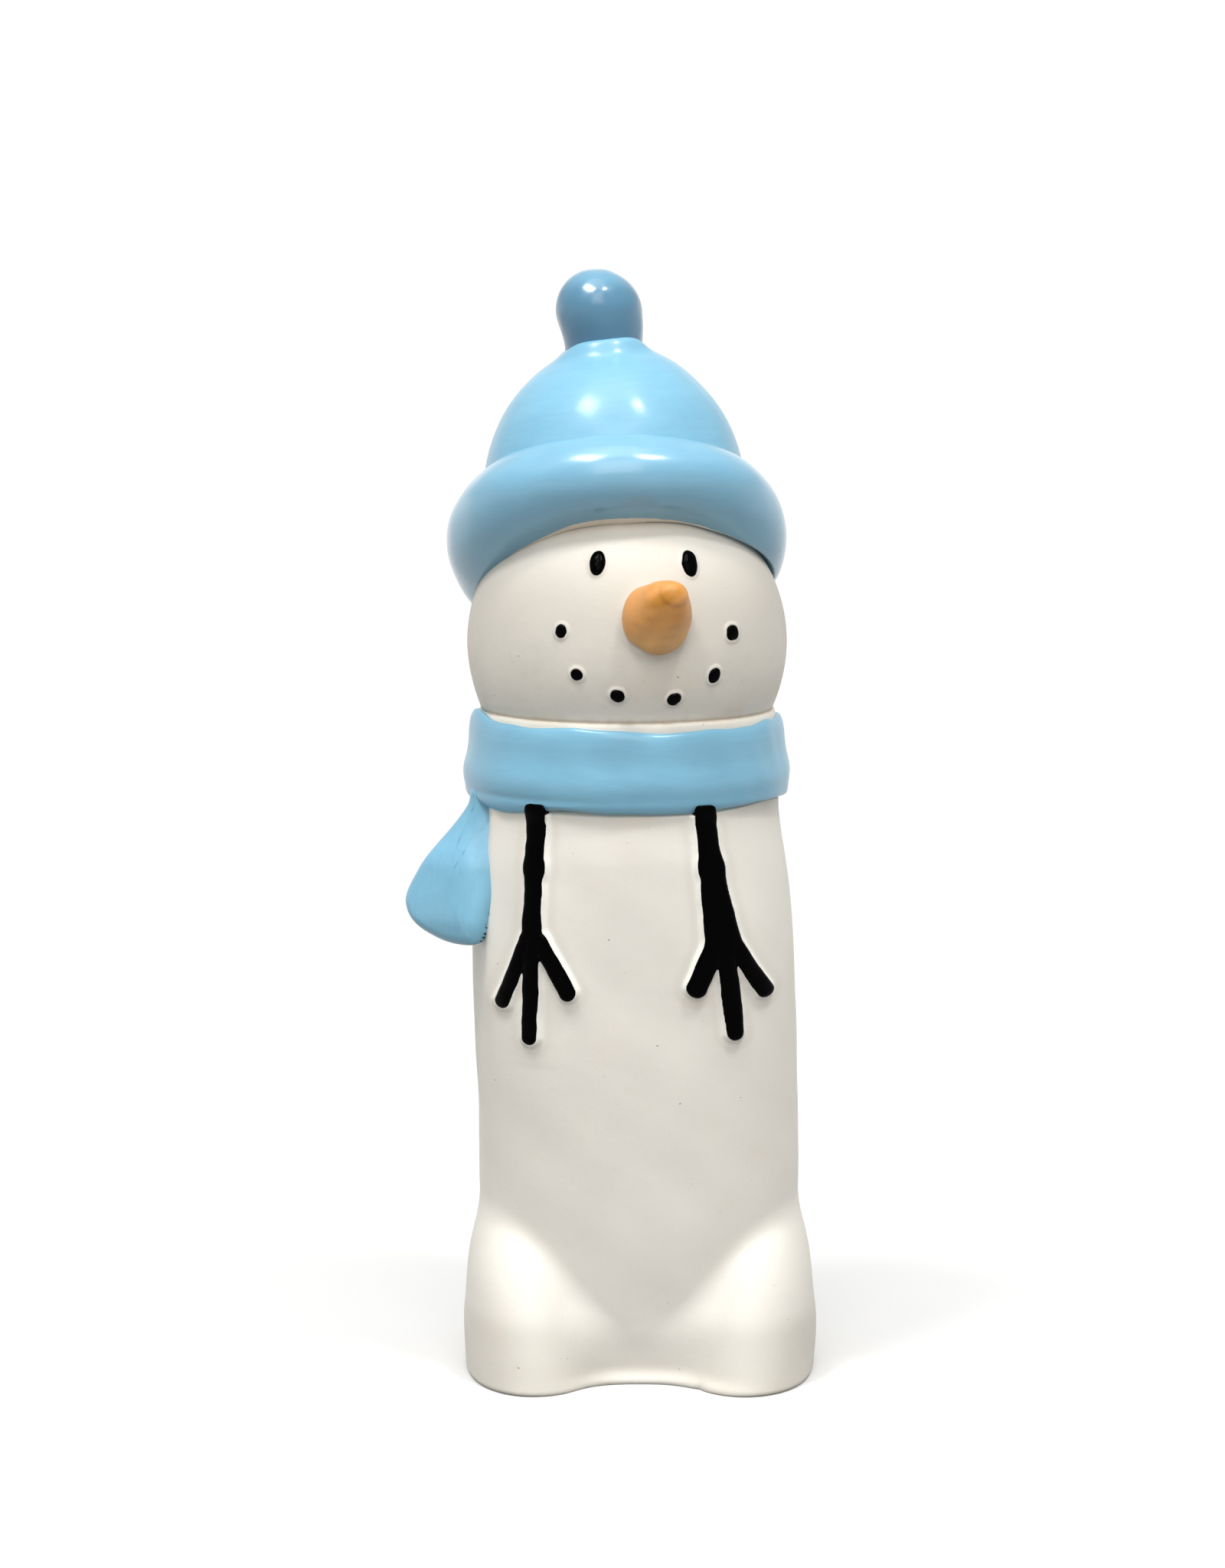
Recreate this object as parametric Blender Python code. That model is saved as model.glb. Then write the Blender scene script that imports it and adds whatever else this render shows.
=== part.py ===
"""Standing snowman figure: a hollow cast body and head under a bobble hat, with a scarf,
a carrot nose, pebble eyes and mouth, and two twig arms in shallow seats.

The figure faces -Y with +X on the viewer's right and +Z up. Each piece is a closed solid of its
own, GAP away from its neighbours, and every piece hangs on one empty, "snowman". Shapes are laid
out in millimetres about the middle of the foot and become metres when a mesh is made.
"""

import math
from functools import lru_cache

import bmesh
import bpy
from mathutils import Vector
from mathutils.geometry import tessellate_polygon

MM = 0.001
GAP = 0.3  # clearance between pieces that touch

# Where the middle of the foot lies from the middle of the whole figure's footprint
STAND_X, STAND_Y = 9.9, 3.2

# Body: side, front and back reach of the upright trunk, and the sideways lean of its axis, by height
SIDE_REACH = ((0, 57.5), (40, 57.8), (76, 58.3), (122, 58.9), (160, 58.7), (185, 57.6), (208, 55.6))
FRONT_REACH = ((0, 43.0), (20, 46.0), (45, 50.5), (70, 53.2), (100, 55.0), (130, 56.0), (190, 56.2),
               (208, 54.9))
BACK_REACH = ((0, 51.0), (76, 53.0), (130, 54.5), (185, 54.8), (208, 55.0))
LEAN = ((0, 0.0), (76, -0.2), (122, -1.6), (160, -2.8), (208, -4.8))
SQUARENESS = ((0, 2.5), (150, 2.5), (208, 2.05))  # 2 is an ellipse, higher is boxier
SHOULDER_Z = 208.3
WALL = 6.0
VENT_RADIUS = 11.0
FOOT_EDGE = 1.6  # rounding of the bottom edge

# Haunches: two bulges low at the front corners
HAUNCH_X, HAUNCH_Y, HAUNCH_Z = 39.6, -16.4, 20.0
HAUNCH_WIDE, HAUNCH_DEEP, HAUNCH_HIGH, HAUNCH_LOW = 24.3, 43.0, 52.0, 200.0
HAUNCH_LEAN_X, HAUNCH_LEAN_Y = 0.05, 0.22  # outward and backward shift for each unit of height
HAUNCH_BLEND = ((0, 15.0), (18, 15.0), (34, 6.5), (52, 3.0), (112, 2.5))
HAUNCH_END = 112.0  # above this the haunches have no effect

# Neck, and the spigot that stands up into the head
UPPER_X = -4.8  # axis of everything above the shoulder
NECK_RADIUS, NECK_TOP = 52.0, 238.2
SPIGOT_RADIUS, SPIGOT_BORE, SPIGOT_TOP = 44.2, 38.5, 246.0

# Head: a ball on a low sloping collar
HEAD_Z, HEAD_RADIUS = 265.3, 58.05
COLLAR_RADIUS, COLLAR_TOP = 54.4, 241.4
HEAD_WALL = 6.5
HEAD_TOP_HOLE = 20.0
FACE_TURN = 7.3  # degrees that the face looks to the viewer's right

# Hat: bell-shaped crown, rolled cuff and bobble
CROWN_X, CROWN_Y, CROWN_Z = -9.6, 8.0, 318.0
CROWN_RADIUS, CROWN_RISE, CROWN_WALL = 47.8, 54.6, 6.0
BOBBLE_X, BOBBLE_Y, BOBBLE_Z, BOBBLE_RADIUS = -13.7, 10.5, 384.4, 15.8
BOBBLE_LEAN = -0.07  # sideways for each unit of height above its stalk
BOBBLE_HOLE, BOBBLE_TENON_END = 6.3, 364.0
CUFF_LOWER = ((0, 309.3), (30, 308.0), (52, 303.4), (70, 297.0), (90, 288.2), (120, 276.0), (180, 269.0))
CUFF_UPPER_Z, CUFF_UPPER_TILT, CUFF_UPPER_SLANT, CUFF_LOWER_SLANT = 326.4, 20.3, 0.04, 0.085
CUFF_BULGE = ((0, 13.5), (50, 12.8), (90, 10.4), (180, 12.0))
CUFF_BULGE_SLANT = -1.3  # fuller on the viewer's left
CUFF_GAP = 0.5
RIM_GAP = 0.45

# Scarf: a band round the neck and one short tail on the viewer's left
BAND_BOTTOM, BAND_TOP = 208.6, 237.6
BAND_PROFILE = ((55.2, 208.6), (57.9, 209.6), (59.2, 213.0), (59.4, 218.0), (58.7, 224.0), (57.6, 229.5),
                (56.7, 234.0), (55.6, 236.6), (54.0, 237.6))
TAIL_TURN = -30.0  # degrees, the way its broad face looks
TAIL_THICK = 12.0
TAIL_AT = (-57.0, -27.0)
TAIL_OUTLINE = ((7.6, 208.0), (7.3, 190.0), (6.0, 179.0), (3.3, 171.0), (0.6, 162.6), (-3.0, 159.4),
                (-11.5, 159.2), (-20.0, 161.4), (-26.5, 165.2), (-30.2, 170.6), (-30.2, 176.5),
                (-24.6, 186.0), (-15.8, 198.0), (-8.0, 208.0))

# Face: (degrees to the side of the face's middle, degrees above the head's middle)
EYES = {"eye_left": (-19.8, 34.0, 0.0), "eye_right": (19.5, 33.6, -14.0)}
EYE_SIZE = (2.7, 4.3)
MOUTH = ((-31.2, 8.7), (-25.3, -6.1), (-10.7, -13.6), (9.7, -15.0), (24.7, -7.1), (32.7, 7.5))
PEBBLE_SIZE = (2.1, 2.4)
BEAD_SINK, BEAD_RISE = 1.6, 1.5
NOSE_AT = (2.8, 12.5)
NOSE_RADIUS, NOSE_TENON, NOSE_TENON_LENGTH = 11.7, 5.0, 5.0
NOSE_TIP = (12.8, -75.0, 288.9)
NOSE_TIP_RADIUS = 6.4

# Arms: (x, z, half width) of the shoulder, elbow, wrist and three fingertips
ARM_LEFT = ((-35.8, 207.9, 3.3), (-37.1, 189.3, 3.0), (-38.1, 163.5, 3.3),
            ((-48.0, 140.4, 2.4), (-38.7, 128.2, 2.6), (-25.7, 145.0, 2.6)))
ARM_RIGHT = ((20.9, 207.9, 3.3), (24.1, 190.1, 3.9), (28.4, 164.5, 5.7),
             ((19.9, 147.4, 3.4), (33.1, 130.6, 2.9), (43.6, 144.6, 2.6)))
ARM_SINK, ARM_WALL, ARM_RISE, ARM_ROUND = 1.2, 1.7, 2.6, 1.3
GROOVE_SINK, GROOVE_LIFT = 1.55, 1.5  # the groove runs out through the shoulder

BODY_SEGMENTS = 48
HEAD_SEGMENTS = 40
CUFF_SEGMENTS = 40


# ---------------------------------------------------------------- curves and surfaces

def along(knots, at):
    """Value at a place on a smooth curve through (place, value) knots."""
    if at <= knots[0][0]:
        return knots[0][1]
    if at >= knots[-1][0]:
        return knots[-1][1]
    i = next(n for n in range(len(knots) - 1) if at <= knots[n + 1][0])
    (x0, y0), (x1, y1) = knots[i], knots[i + 1]

    def slope(n):
        if n in (0, len(knots) - 1):
            return 0.0
        return (knots[n + 1][1] - knots[n - 1][1]) / (knots[n + 1][0] - knots[n - 1][0])

    span = x1 - x0
    t = (at - x0) / span
    return (y0 * (1 + 2 * t) * (1 - t) ** 2 + slope(i) * span * t * (1 - t) ** 2
            + y1 * t * t * (3 - 2 * t) - slope(i + 1) * span * t * t * (1 - t))


def soft_min(a, b, blend):
    """The smaller of two lengths, rounded over where they are within blend of each other."""
    near = max(blend - abs(a - b), 0.0) / blend
    return min(a, b) - near * near * blend / 4


def toward(turn):
    """Unit direction in plan: 0 looks to the front (-Y), positive turns to +X."""
    return math.sin(turn), -math.cos(turn)


def trunk_reach(turn, z):
    """Radius of the upright trunk alone."""
    ux, uy = toward(turn)
    deep = along(FRONT_REACH if uy < 0 else BACK_REACH, z)
    power = along(SQUARENESS, z)
    return (abs(ux / along(SIDE_REACH, z)) ** power + abs(uy / deep) ** power) ** (-1 / power)


def off_haunch(x, y, z, side):
    """Rough distance outside one haunch, an upright egg that leans outward and back."""
    above = z - HAUNCH_Z
    cx = side * (HAUNCH_X + HAUNCH_LEAN_X * above)
    cy = HAUNCH_Y + HAUNCH_LEAN_Y * above
    high = HAUNCH_HIGH if above > 0 else HAUNCH_LOW
    size = math.sqrt(((x - cx) / HAUNCH_WIDE) ** 2 + ((y - cy) / HAUNCH_DEEP) ** 2 + (above / high) ** 2)
    return (size - 1) * HAUNCH_WIDE


@lru_cache(maxsize=None)
def body_reach(turn, z):
    """Radius of the body's outside from its leaning axis: trunk and haunches run into one another."""
    trunk = trunk_reach(turn, z)
    if z > HAUNCH_END:
        return trunk
    ux, uy = toward(turn)
    lean, blend = along(LEAN, z), along(HAUNCH_BLEND, z)

    def off_body(radius):
        off = radius - trunk
        for side in (-1, 1):
            off = soft_min(off, off_haunch(lean + ux * radius, uy * radius, z, side), blend)
        return off

    inside = 90.0
    while off_body(inside) > 0:
        inside -= 1.0
    outside = inside + 1.0
    for _ in range(14):
        middle = (inside + outside) / 2
        if off_body(middle) > 0:
            outside = middle
        else:
            inside = middle
    return middle


def body_point(turn, z, out=0.0):
    ux, uy = toward(turn)
    reach = body_reach(turn, z) + out
    return Vector((along(LEAN, z) + ux * reach, uy * reach, z))


def front_of_body(x, z, out):
    """The point of the body's front at a given x and height, moved straight out of the body."""
    sideways = x - along(LEAN, z)
    low, high = -math.pi / 2, math.pi / 2
    for _ in range(40):
        turn = (low + high) / 2
        if math.sin(turn) * body_reach(turn, z) < sideways:
            low = turn
        else:
            high = turn
    step = 0.02
    edge = body_point(turn + step, z) - body_point(turn - step, z)
    outward = Vector((edge.y, -edge.x, 0)).normalized()
    return body_point(turn, z) + outward * out


def crown_reach(z):
    rise = max(z - CROWN_Z, 0.0) / CROWN_RISE
    return CROWN_RADIUS * math.sqrt(max(1 - rise * rise, 0.0))


def on_head(side_angle, up_angle, out=0.0):
    """A point on the head and the outward direction there, from angles on the face."""
    turn, up = math.radians(side_angle + FACE_TURN), math.radians(up_angle)
    ux, uy = toward(turn)
    normal = Vector((ux * math.cos(up), uy * math.cos(up), math.sin(up)))
    return Vector((UPPER_X, 0, HEAD_Z)) + normal * (HEAD_RADIUS + out), normal


# ---------------------------------------------------------------- making objects

def circle(segments, radius, z, cx=0.0, cy=0.0):
    return [Vector((cx + radius * toward(t)[0], cy + radius * toward(t)[1], z)) for t in turns(segments)]


def turns(segments):
    return [2 * math.pi * n / segments for n in range(segments)]


def material(name, colour, roughness):
    made = bpy.data.materials.get(name)
    if made is None:
        made = bpy.data.materials.new(name)
        made.use_nodes = True
        shader = made.node_tree.nodes["Principled BSDF"]
        shader.inputs["Base Color"].default_value = (*colour, 1)
        shader.inputs["Roughness"].default_value = roughness
        shader.inputs["Metallic"].default_value = 0.0
    return made


BISQUE = ("bisque", (0.72, 0.69, 0.62), 0.75)
BLUE = ("blue_paint", (0.28, 0.58, 0.74), 0.38)
BLACK = ("black_paint", (0.008, 0.008, 0.009), 0.25)
ORANGE = ("orange_paint", (0.75, 0.36, 0.10), 0.45)


def add_object(name, mesh_data, finish, parent):
    mesh = bpy.data.meshes.new(name)
    bmesh.ops.recalc_face_normals(mesh_data, faces=mesh_data.faces)
    mesh_data.to_mesh(mesh)
    mesh_data.free()
    mesh.shade_smooth()
    mesh.set_sharp_from_angle(angle=math.radians(35))
    mesh.materials.append(material(*finish))
    made = bpy.data.objects.new(name, mesh)
    bpy.context.scene.collection.objects.link(made)
    made.parent = parent
    return made


def loft_into(work, rings, ring_shaped=False):
    """Skins a list of rings; the ends are capped, or joined to each other when ring_shaped."""
    made = [[work.verts.new(point * MM) for point in ring] for ring in rings]
    count = len(rings[0])
    pairs = list(zip(made, made[1:]))
    if ring_shaped:
        pairs.append((made[-1], made[0]))
    for lower, upper in pairs:
        for n in range(count):
            m = (n + 1) % count
            work.faces.new((lower[n], lower[m], upper[m], upper[n]))
    if not ring_shaped:
        for end, corners in ((rings[0], made[0]), (rings[-1], made[-1])):
            for triangle in tessellate_polygon([end]):
                work.faces.new([corners[n] for n in triangle])


def loft(name, rings, finish, parent, ring_shaped=False):
    work = bmesh.new()
    loft_into(work, rings, ring_shaped)
    return add_object(name, work, finish, parent)


def cutter(name, shapes, parent):
    """Closed lofts that only take material away from a piece."""
    work = bmesh.new()
    for rings in shapes:
        loft_into(work, rings)
    made = add_object(name, work, BISQUE, parent)
    made.hide_render = True
    made.display_type = "WIRE"
    return made


def cut(piece, tool):
    step = piece.modifiers.new(tool.name, "BOOLEAN")
    step.operation = "DIFFERENCE"
    step.solver = "EXACT"
    step.object = tool


# ---------------------------------------------------------------- body and head

def body_shell(parent):
    """Trunk, haunches, neck and spigot with an even wall, open at the spigot and at the vent."""
    segments = BODY_SEGMENTS
    heights = [4, 9, 15, 22, 29, 36, 43, 50, 57, 64, 72, 84, 104, 126, 148, 168, 184, 196, 204]
    outside = [[body_point(t, 0, -FOOT_EDGE) for t in turns(segments)]]
    outside.append([body_point(t, FOOT_EDGE) for t in turns(segments)])
    outside += [[body_point(t, z) for t in turns(segments)] for z in heights]
    outside.append([body_point(t, SHOULDER_Z, -0.6) for t in turns(segments)])
    outside.append(circle(segments, NECK_RADIUS, SHOULDER_Z, UPPER_X))
    outside.append(circle(segments, NECK_RADIUS, NECK_TOP, UPPER_X))
    outside.append(circle(segments, SPIGOT_RADIUS, NECK_TOP, UPPER_X))
    outside.append(circle(segments, SPIGOT_RADIUS, SPIGOT_TOP, UPPER_X))
    inside = [circle(segments, SPIGOT_BORE, SPIGOT_TOP, UPPER_X),
              circle(segments, SPIGOT_BORE, NECK_TOP - WALL, UPPER_X),
              circle(segments, NECK_RADIUS - WALL, SHOULDER_Z + WALL, UPPER_X)]
    levels = (200, 160, 110, 92, 80, 70, 61, 53, 45, 37, 28, 18)
    inside += [[body_point(t, z, -WALL) for t in turns(segments)] for z in levels]
    inside.append([body_point(t, WALL, -WALL - 4) for t in turns(segments)])
    vent = [circle(segments, VENT_RADIUS, WALL), circle(segments, VENT_RADIUS, 0)]
    return loft("body_shell", outside + inside + vent, BISQUE, parent, ring_shaped=True)


def head_shell(parent):
    """Ball with a sloping collar, open below for the spigot and above under the hat."""
    segments = HEAD_SEGMENTS
    bottom = NECK_TOP + GAP
    inner = HEAD_RADIUS - HEAD_WALL
    mouth_of_socket = SPIGOT_RADIUS + GAP
    rings = [circle(segments, mouth_of_socket, bottom, UPPER_X),
             circle(segments, COLLAR_RADIUS, bottom, UPPER_X),
             circle(segments, COLLAR_RADIUS - 0.3, bottom + 0.6, UPPER_X)]
    first = math.asin((COLLAR_TOP - HEAD_Z) / HEAD_RADIUS)
    last = math.acos(HEAD_TOP_HOLE / HEAD_RADIUS)
    rows = 16
    for n in range(rows + 1):
        up = first + (last - first) * n / rows
        height = HEAD_Z + HEAD_RADIUS * math.sin(up)
        rings.append(circle(segments, HEAD_RADIUS * math.cos(up), height, UPPER_X))
    first = -math.acos(mouth_of_socket / inner)
    last = math.acos(HEAD_TOP_HOLE / inner)
    rows = 8
    for n in range(rows, -1, -1):
        up = first + (last - first) * n / rows
        rings.append(circle(segments, inner * math.cos(up), HEAD_Z + inner * math.sin(up), UPPER_X))
    return loft("head_shell", rings, BISQUE, parent, ring_shaped=True)


# ---------------------------------------------------------------- hat

def rim_height(x, y, out):
    """Height at which a plumb line through (x, y) meets the head's upper side."""
    return HEAD_Z + math.sqrt((HEAD_RADIUS + out) ** 2 - (x - UPPER_X) ** 2 - y * y)


def crown_ring(segments, radius, z, cx=CROWN_X, cy=CROWN_Y):
    return circle(segments, radius, z, cx, cy)


def hat_crown(parent):
    """Bell whose lower rim sits on the head all round, with a hole at the top for the bobble."""
    segments = HEAD_SEGMENTS

    def skirt(radius, share):
        ring = crown_ring(segments, radius, CROWN_Z)
        for point in ring:
            rim = rim_height(point.x, point.y, RIM_GAP)
            point.z = rim + (point.z - rim) * share
        return ring

    def dome(radius, rise, up):
        return crown_ring(segments, radius * math.cos(up), CROWN_Z + rise * math.sin(up))

    inner_radius, inner_rise = CROWN_RADIUS - CROWN_WALL, CROWN_RISE - CROWN_WALL
    ups = [math.radians(a) for a in (12, 24, 36, 47, 57, 66)]
    hole_top = CROWN_Z + CROWN_RISE - 0.8
    rings = [skirt(CROWN_RADIUS, share) for share in (0, 0.5, 1)]
    rings += [dome(CROWN_RADIUS, CROWN_RISE, up) for up in ups]
    rings.append(crown_ring(segments, BOBBLE_HOLE, hole_top, BOBBLE_X, BOBBLE_Y))
    rings.append(crown_ring(segments, BOBBLE_HOLE, hole_top - CROWN_WALL, BOBBLE_X, BOBBLE_Y))
    rings += [dome(inner_radius, inner_rise, up) for up in reversed(ups[1::2])]
    rings += [skirt(inner_radius, 0.9), skirt(inner_radius, 0), skirt(CROWN_RADIUS - CROWN_WALL / 2, 0)]
    return loft("hat_crown", rings, BLUE, parent, ring_shaped=True)


def clear_of_head_and_crown(point):
    """Moves a point of the cuff's inside out onto the head's and the crown's surfaces."""
    middle = Vector((UPPER_X, 0, HEAD_Z))
    away = point - middle
    if away.length < HEAD_RADIUS + CUFF_GAP:
        point = middle + away.normalized() * (HEAD_RADIUS + CUFF_GAP)
    sideways = Vector((point.x - CROWN_X, point.y - CROWN_Y, 0))
    reach = crown_reach(point.z) + CUFF_GAP
    if sideways.length < reach:
        sideways = sideways.normalized() * reach
        point = Vector((CROWN_X + sideways.x, CROWN_Y + sideways.y, point.z))
    return point


def cuff_edges(turn):
    """Where the cuff's section starts on the head and ends on the crown, in one direction."""
    ux, uy = toward(turn)
    round_to = abs(math.degrees(math.atan2(math.sin(turn), math.cos(turn))))
    low_z = along(CUFF_LOWER, round_to)
    low_reach = math.sqrt((HEAD_RADIUS + CUFF_GAP) ** 2 - (low_z - HEAD_Z) ** 2)
    low = Vector((UPPER_X + ux * low_reach, uy * low_reach, low_z + CUFF_LOWER_SLANT * ux * low_reach))
    high_z = CUFF_UPPER_Z
    for _ in range(6):
        reach = crown_reach(high_z) + CUFF_GAP
        high_z = CUFF_UPPER_Z + reach * (CUFF_UPPER_SLANT * ux - math.tan(math.radians(CUFF_UPPER_TILT)) * uy)
    high = Vector((CROWN_X + ux * reach, CROWN_Y + uy * reach, high_z))
    return clear_of_head_and_crown(low), high, along(CUFF_BULGE, round_to) + CUFF_BULGE_SLANT * ux


def hat_cuff(parent):
    """Rolled brim: a full D-shaped section that follows the head below and the crown above."""
    outer_points, inner_points = 10, 5
    sections = []
    for turn in turns(CUFF_SEGMENTS):
        low, high, bulge = cuff_edges(turn)
        middle, half = (low + high) / 2, (high - low) / 2
        ux, uy = toward(turn)
        outward = Vector((ux, uy, 0))
        outward = (outward - half.normalized() * outward.dot(half.normalized())).normalized()
        section = []
        for n in range(outer_points + 1):
            angle = math.pi * (n / outer_points - 0.5)
            out = max(math.cos(angle), 0.0) ** (1.35 + 0.43 * ux * ux if angle > 0 else 1.35)
            section.append(middle + half * math.sin(angle) + outward * bulge * out)
        for n in range(1, inner_points + 1):
            share = n / (inner_points + 1)
            section.append(clear_of_head_and_crown(high.lerp(low, share) - outward * 6))
        sections.append(section)
    return loft("hat_cuff", sections, BLUE, parent, ring_shaped=True)


def hat_pompom(parent):
    """Bobble on a thick stalk, with a tenon down into the crown."""
    segments = 20
    seat_z = CROWN_Z + CROWN_RISE - 0.8 + GAP

    def seat(radius):
        ring = circle(segments, radius, 0, BOBBLE_X, BOBBLE_Y)
        for point in ring:
            away = math.hypot(point.x - CROWN_X, point.y - CROWN_Y) / CROWN_RADIUS
            point.z = min(CROWN_Z + CROWN_RISE * math.sqrt(1 - away * away), seat_z) + GAP
        return ring

    tenon = BOBBLE_HOLE - GAP
    rings = [circle(segments, tenon, BOBBLE_TENON_END, BOBBLE_X, BOBBLE_Y),
             circle(segments, tenon, seat_z + 0.2, BOBBLE_X, BOBBLE_Y), seat(11.0), seat(15.2)]
    for up_angle in (-32, -16, 0, 16, 32, 48, 64, 78):
        up = math.radians(up_angle)
        fullness = math.cos(up) if up > 0 else 1 - 0.08 * abs(math.sin(up))
        z = BOBBLE_Z + BOBBLE_RADIUS * math.sin(up)
        leaned = BOBBLE_X + BOBBLE_LEAN * (z - seat_z)
        rings.append(circle(segments, BOBBLE_RADIUS * fullness, z, leaned, BOBBLE_Y))
    return loft("hat_pompom", rings, BLUE, parent)


# ---------------------------------------------------------------- scarf

def scarf_band(parent):
    segments = BODY_SEGMENTS
    inside = NECK_RADIUS + GAP
    profile = [(inside, BAND_BOTTOM), *BAND_PROFILE, (inside, BAND_TOP - 0.2)]
    rings = [circle(segments, radius, z, UPPER_X) for radius, z in profile]
    return loft("scarf_band", rings, BLUE, parent, ring_shaped=True)


def scarf_tail(parent):
    """Thick flared lobe against the body's side, hollowed on its back to fit the body."""
    turn = math.radians(TAIL_TURN)
    outward = Vector((*toward(turn), 0))
    wide = Vector((-outward.y, outward.x, 0))
    root = Vector((TAIL_AT[0], TAIL_AT[1], 0))
    centre = (-12.0, 178.0)
    rings = []
    for depth, inset in ((-0.5, 0.18), (-0.36, 0.06), (-0.1, 0.0), (0.18, 0.0), (0.4, 0.07), (0.5, 0.2)):
        ring = []
        for u, z in TAIL_OUTLINE:
            u, z = u + (centre[0] - u) * inset, z + (centre[1] - z) * inset * 0.6 * (z < 200)
            ring.append(root + wide * u + outward * (depth * TAIL_THICK) + Vector((0, 0, z)))
        rings.append(ring)
    tail = loft("scarf_tail", rings, BLUE, parent)
    heights = (140, 150, 160, 170, 180, 190, 200, 207, 212)
    room = cutter("body_side_clearance",
                  [[[body_point(t, min(z, 208), GAP) + Vector((0, 0, z - min(z, 208)))
                     for t in turns(BODY_SEGMENTS)] for z in heights]], parent)
    cut(tail, room)
    return tail


# ---------------------------------------------------------------- face

def bead_rings(side_angle, up_angle, size, roll, extra, segments=10):
    """Rings of a rounded bead half sunk in the head, grown all round by extra."""
    middle, normal = on_head(side_angle, up_angle)
    across = Vector((0, 0, 1)).cross(normal).normalized()
    upward = normal.cross(across)
    turned = math.radians(roll)
    wide_axis = across * math.cos(turned) + upward * math.sin(turned)
    tall_axis = upward * math.cos(turned) - across * math.sin(turned)
    rings = []
    for out, share in ((-1.0, 0.8), (-0.25, 1.0), (0.25, 1.0), (0.7, 0.8), (1.0, 0.42)):
        reach = (BEAD_RISE if out > 0 else BEAD_SINK) * out + math.copysign(extra, out)
        ring = []
        for t in turns(segments):
            x = math.cos(t) * (size[0] * share + extra)
            y = math.sin(t) * (size[1] * share + extra)
            ring.append(middle + normal * reach + wide_axis * x + tall_axis * y)
        rings.append(ring)
    return rings


def face_beads(parent):
    """Eyes and mouth pebbles, and the shapes of their pockets."""
    pockets = []
    beads = [(name, side, up, EYE_SIZE, roll) for name, (side, up, roll) in EYES.items()]
    beads += [(f"mouth_pebble_{n}", side, up, PEBBLE_SIZE, 0.0) for n, (side, up) in enumerate(MOUTH, 1)]
    for name, side, up, size, roll in beads:
        loft(name, bead_rings(side, up, size, roll, 0.0), BLACK, parent)
        pockets.append(bead_rings(side, up, size, roll, GAP))
    return pockets


def carrot_nose(parent):
    """Stubby carrot that tips up and to the side, with a tenon into the head; returns its hole."""
    segments = 20
    base, normal = on_head(*NOSE_AT)
    across = Vector((0, 0, 1)).cross(normal).normalized()
    upward = normal.cross(across)
    middle = Vector((UPPER_X, 0, HEAD_Z))
    tip = Vector(NOSE_TIP)

    def flat(centre, radius, facing=None):
        side, rise = across, upward
        if facing is not None:
            side = Vector((0, 0, 1)).cross(facing).normalized()
            rise = facing.cross(side)
        return [centre + side * radius * math.cos(t) + rise * radius * math.sin(t) for t in turns(segments)]

    def seated(radius, out):
        return [middle + (p - middle).normalized() * (HEAD_RADIUS + out) for p in flat(base, radius)]

    rings = [flat(base - normal * NOSE_TENON_LENGTH, NOSE_TENON), seated(NOSE_TENON, GAP),
             seated(NOSE_RADIUS - 0.4, GAP), seated(NOSE_RADIUS, 1.0)]
    end = tip - (tip - base).normalized() * NOSE_TIP_RADIUS
    control = base + normal * 10.0
    for share, radius in ((0.12, 11.9), (0.3, 11.3), (0.5, 9.9), (0.72, 8.0), (0.9, 6.4), (1.0, 5.4)):
        centre = base * (1 - share) ** 2 + control * 2 * share * (1 - share) + end * share * share
        heading = ((control - base) * (1 - share) + (end - control) * share).normalized()
        rings.append(flat(centre + heading * 1.2 * (1 - share), radius, heading))
    for up_angle in (25, 50, 72):
        up = math.radians(up_angle)
        middle = end + heading * NOSE_TIP_RADIUS * math.sin(up)
        rings.append(flat(middle, NOSE_TIP_RADIUS * math.cos(up), heading))
    loft("carrot_nose", rings, ORANGE, parent)
    return [flat(base - normal * (NOSE_TENON_LENGTH + 8), NOSE_TENON + GAP),
            flat(base + normal * 4, NOSE_TENON + GAP)]


# ---------------------------------------------------------------- arms

def meeting(a, b, c, d):
    """Where the line from a to b crosses the line from c to d."""
    ab, cd = b - a, d - c
    share = ((c.x - a.x) * cd.y - (c.y - a.y) * cd.x) / (ab.x * cd.y - ab.y * cd.x)
    return a + ab * share


def limb_side(hub, end, half_hub, half_end, side):
    """Two points on one side of a straight limb: side 1 is its left as one looks from the hub."""
    ahead = (end - hub).normalized()
    away = Vector((-ahead.y, ahead.x)) * side
    return hub + away * half_hub, end + away * half_end


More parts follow.
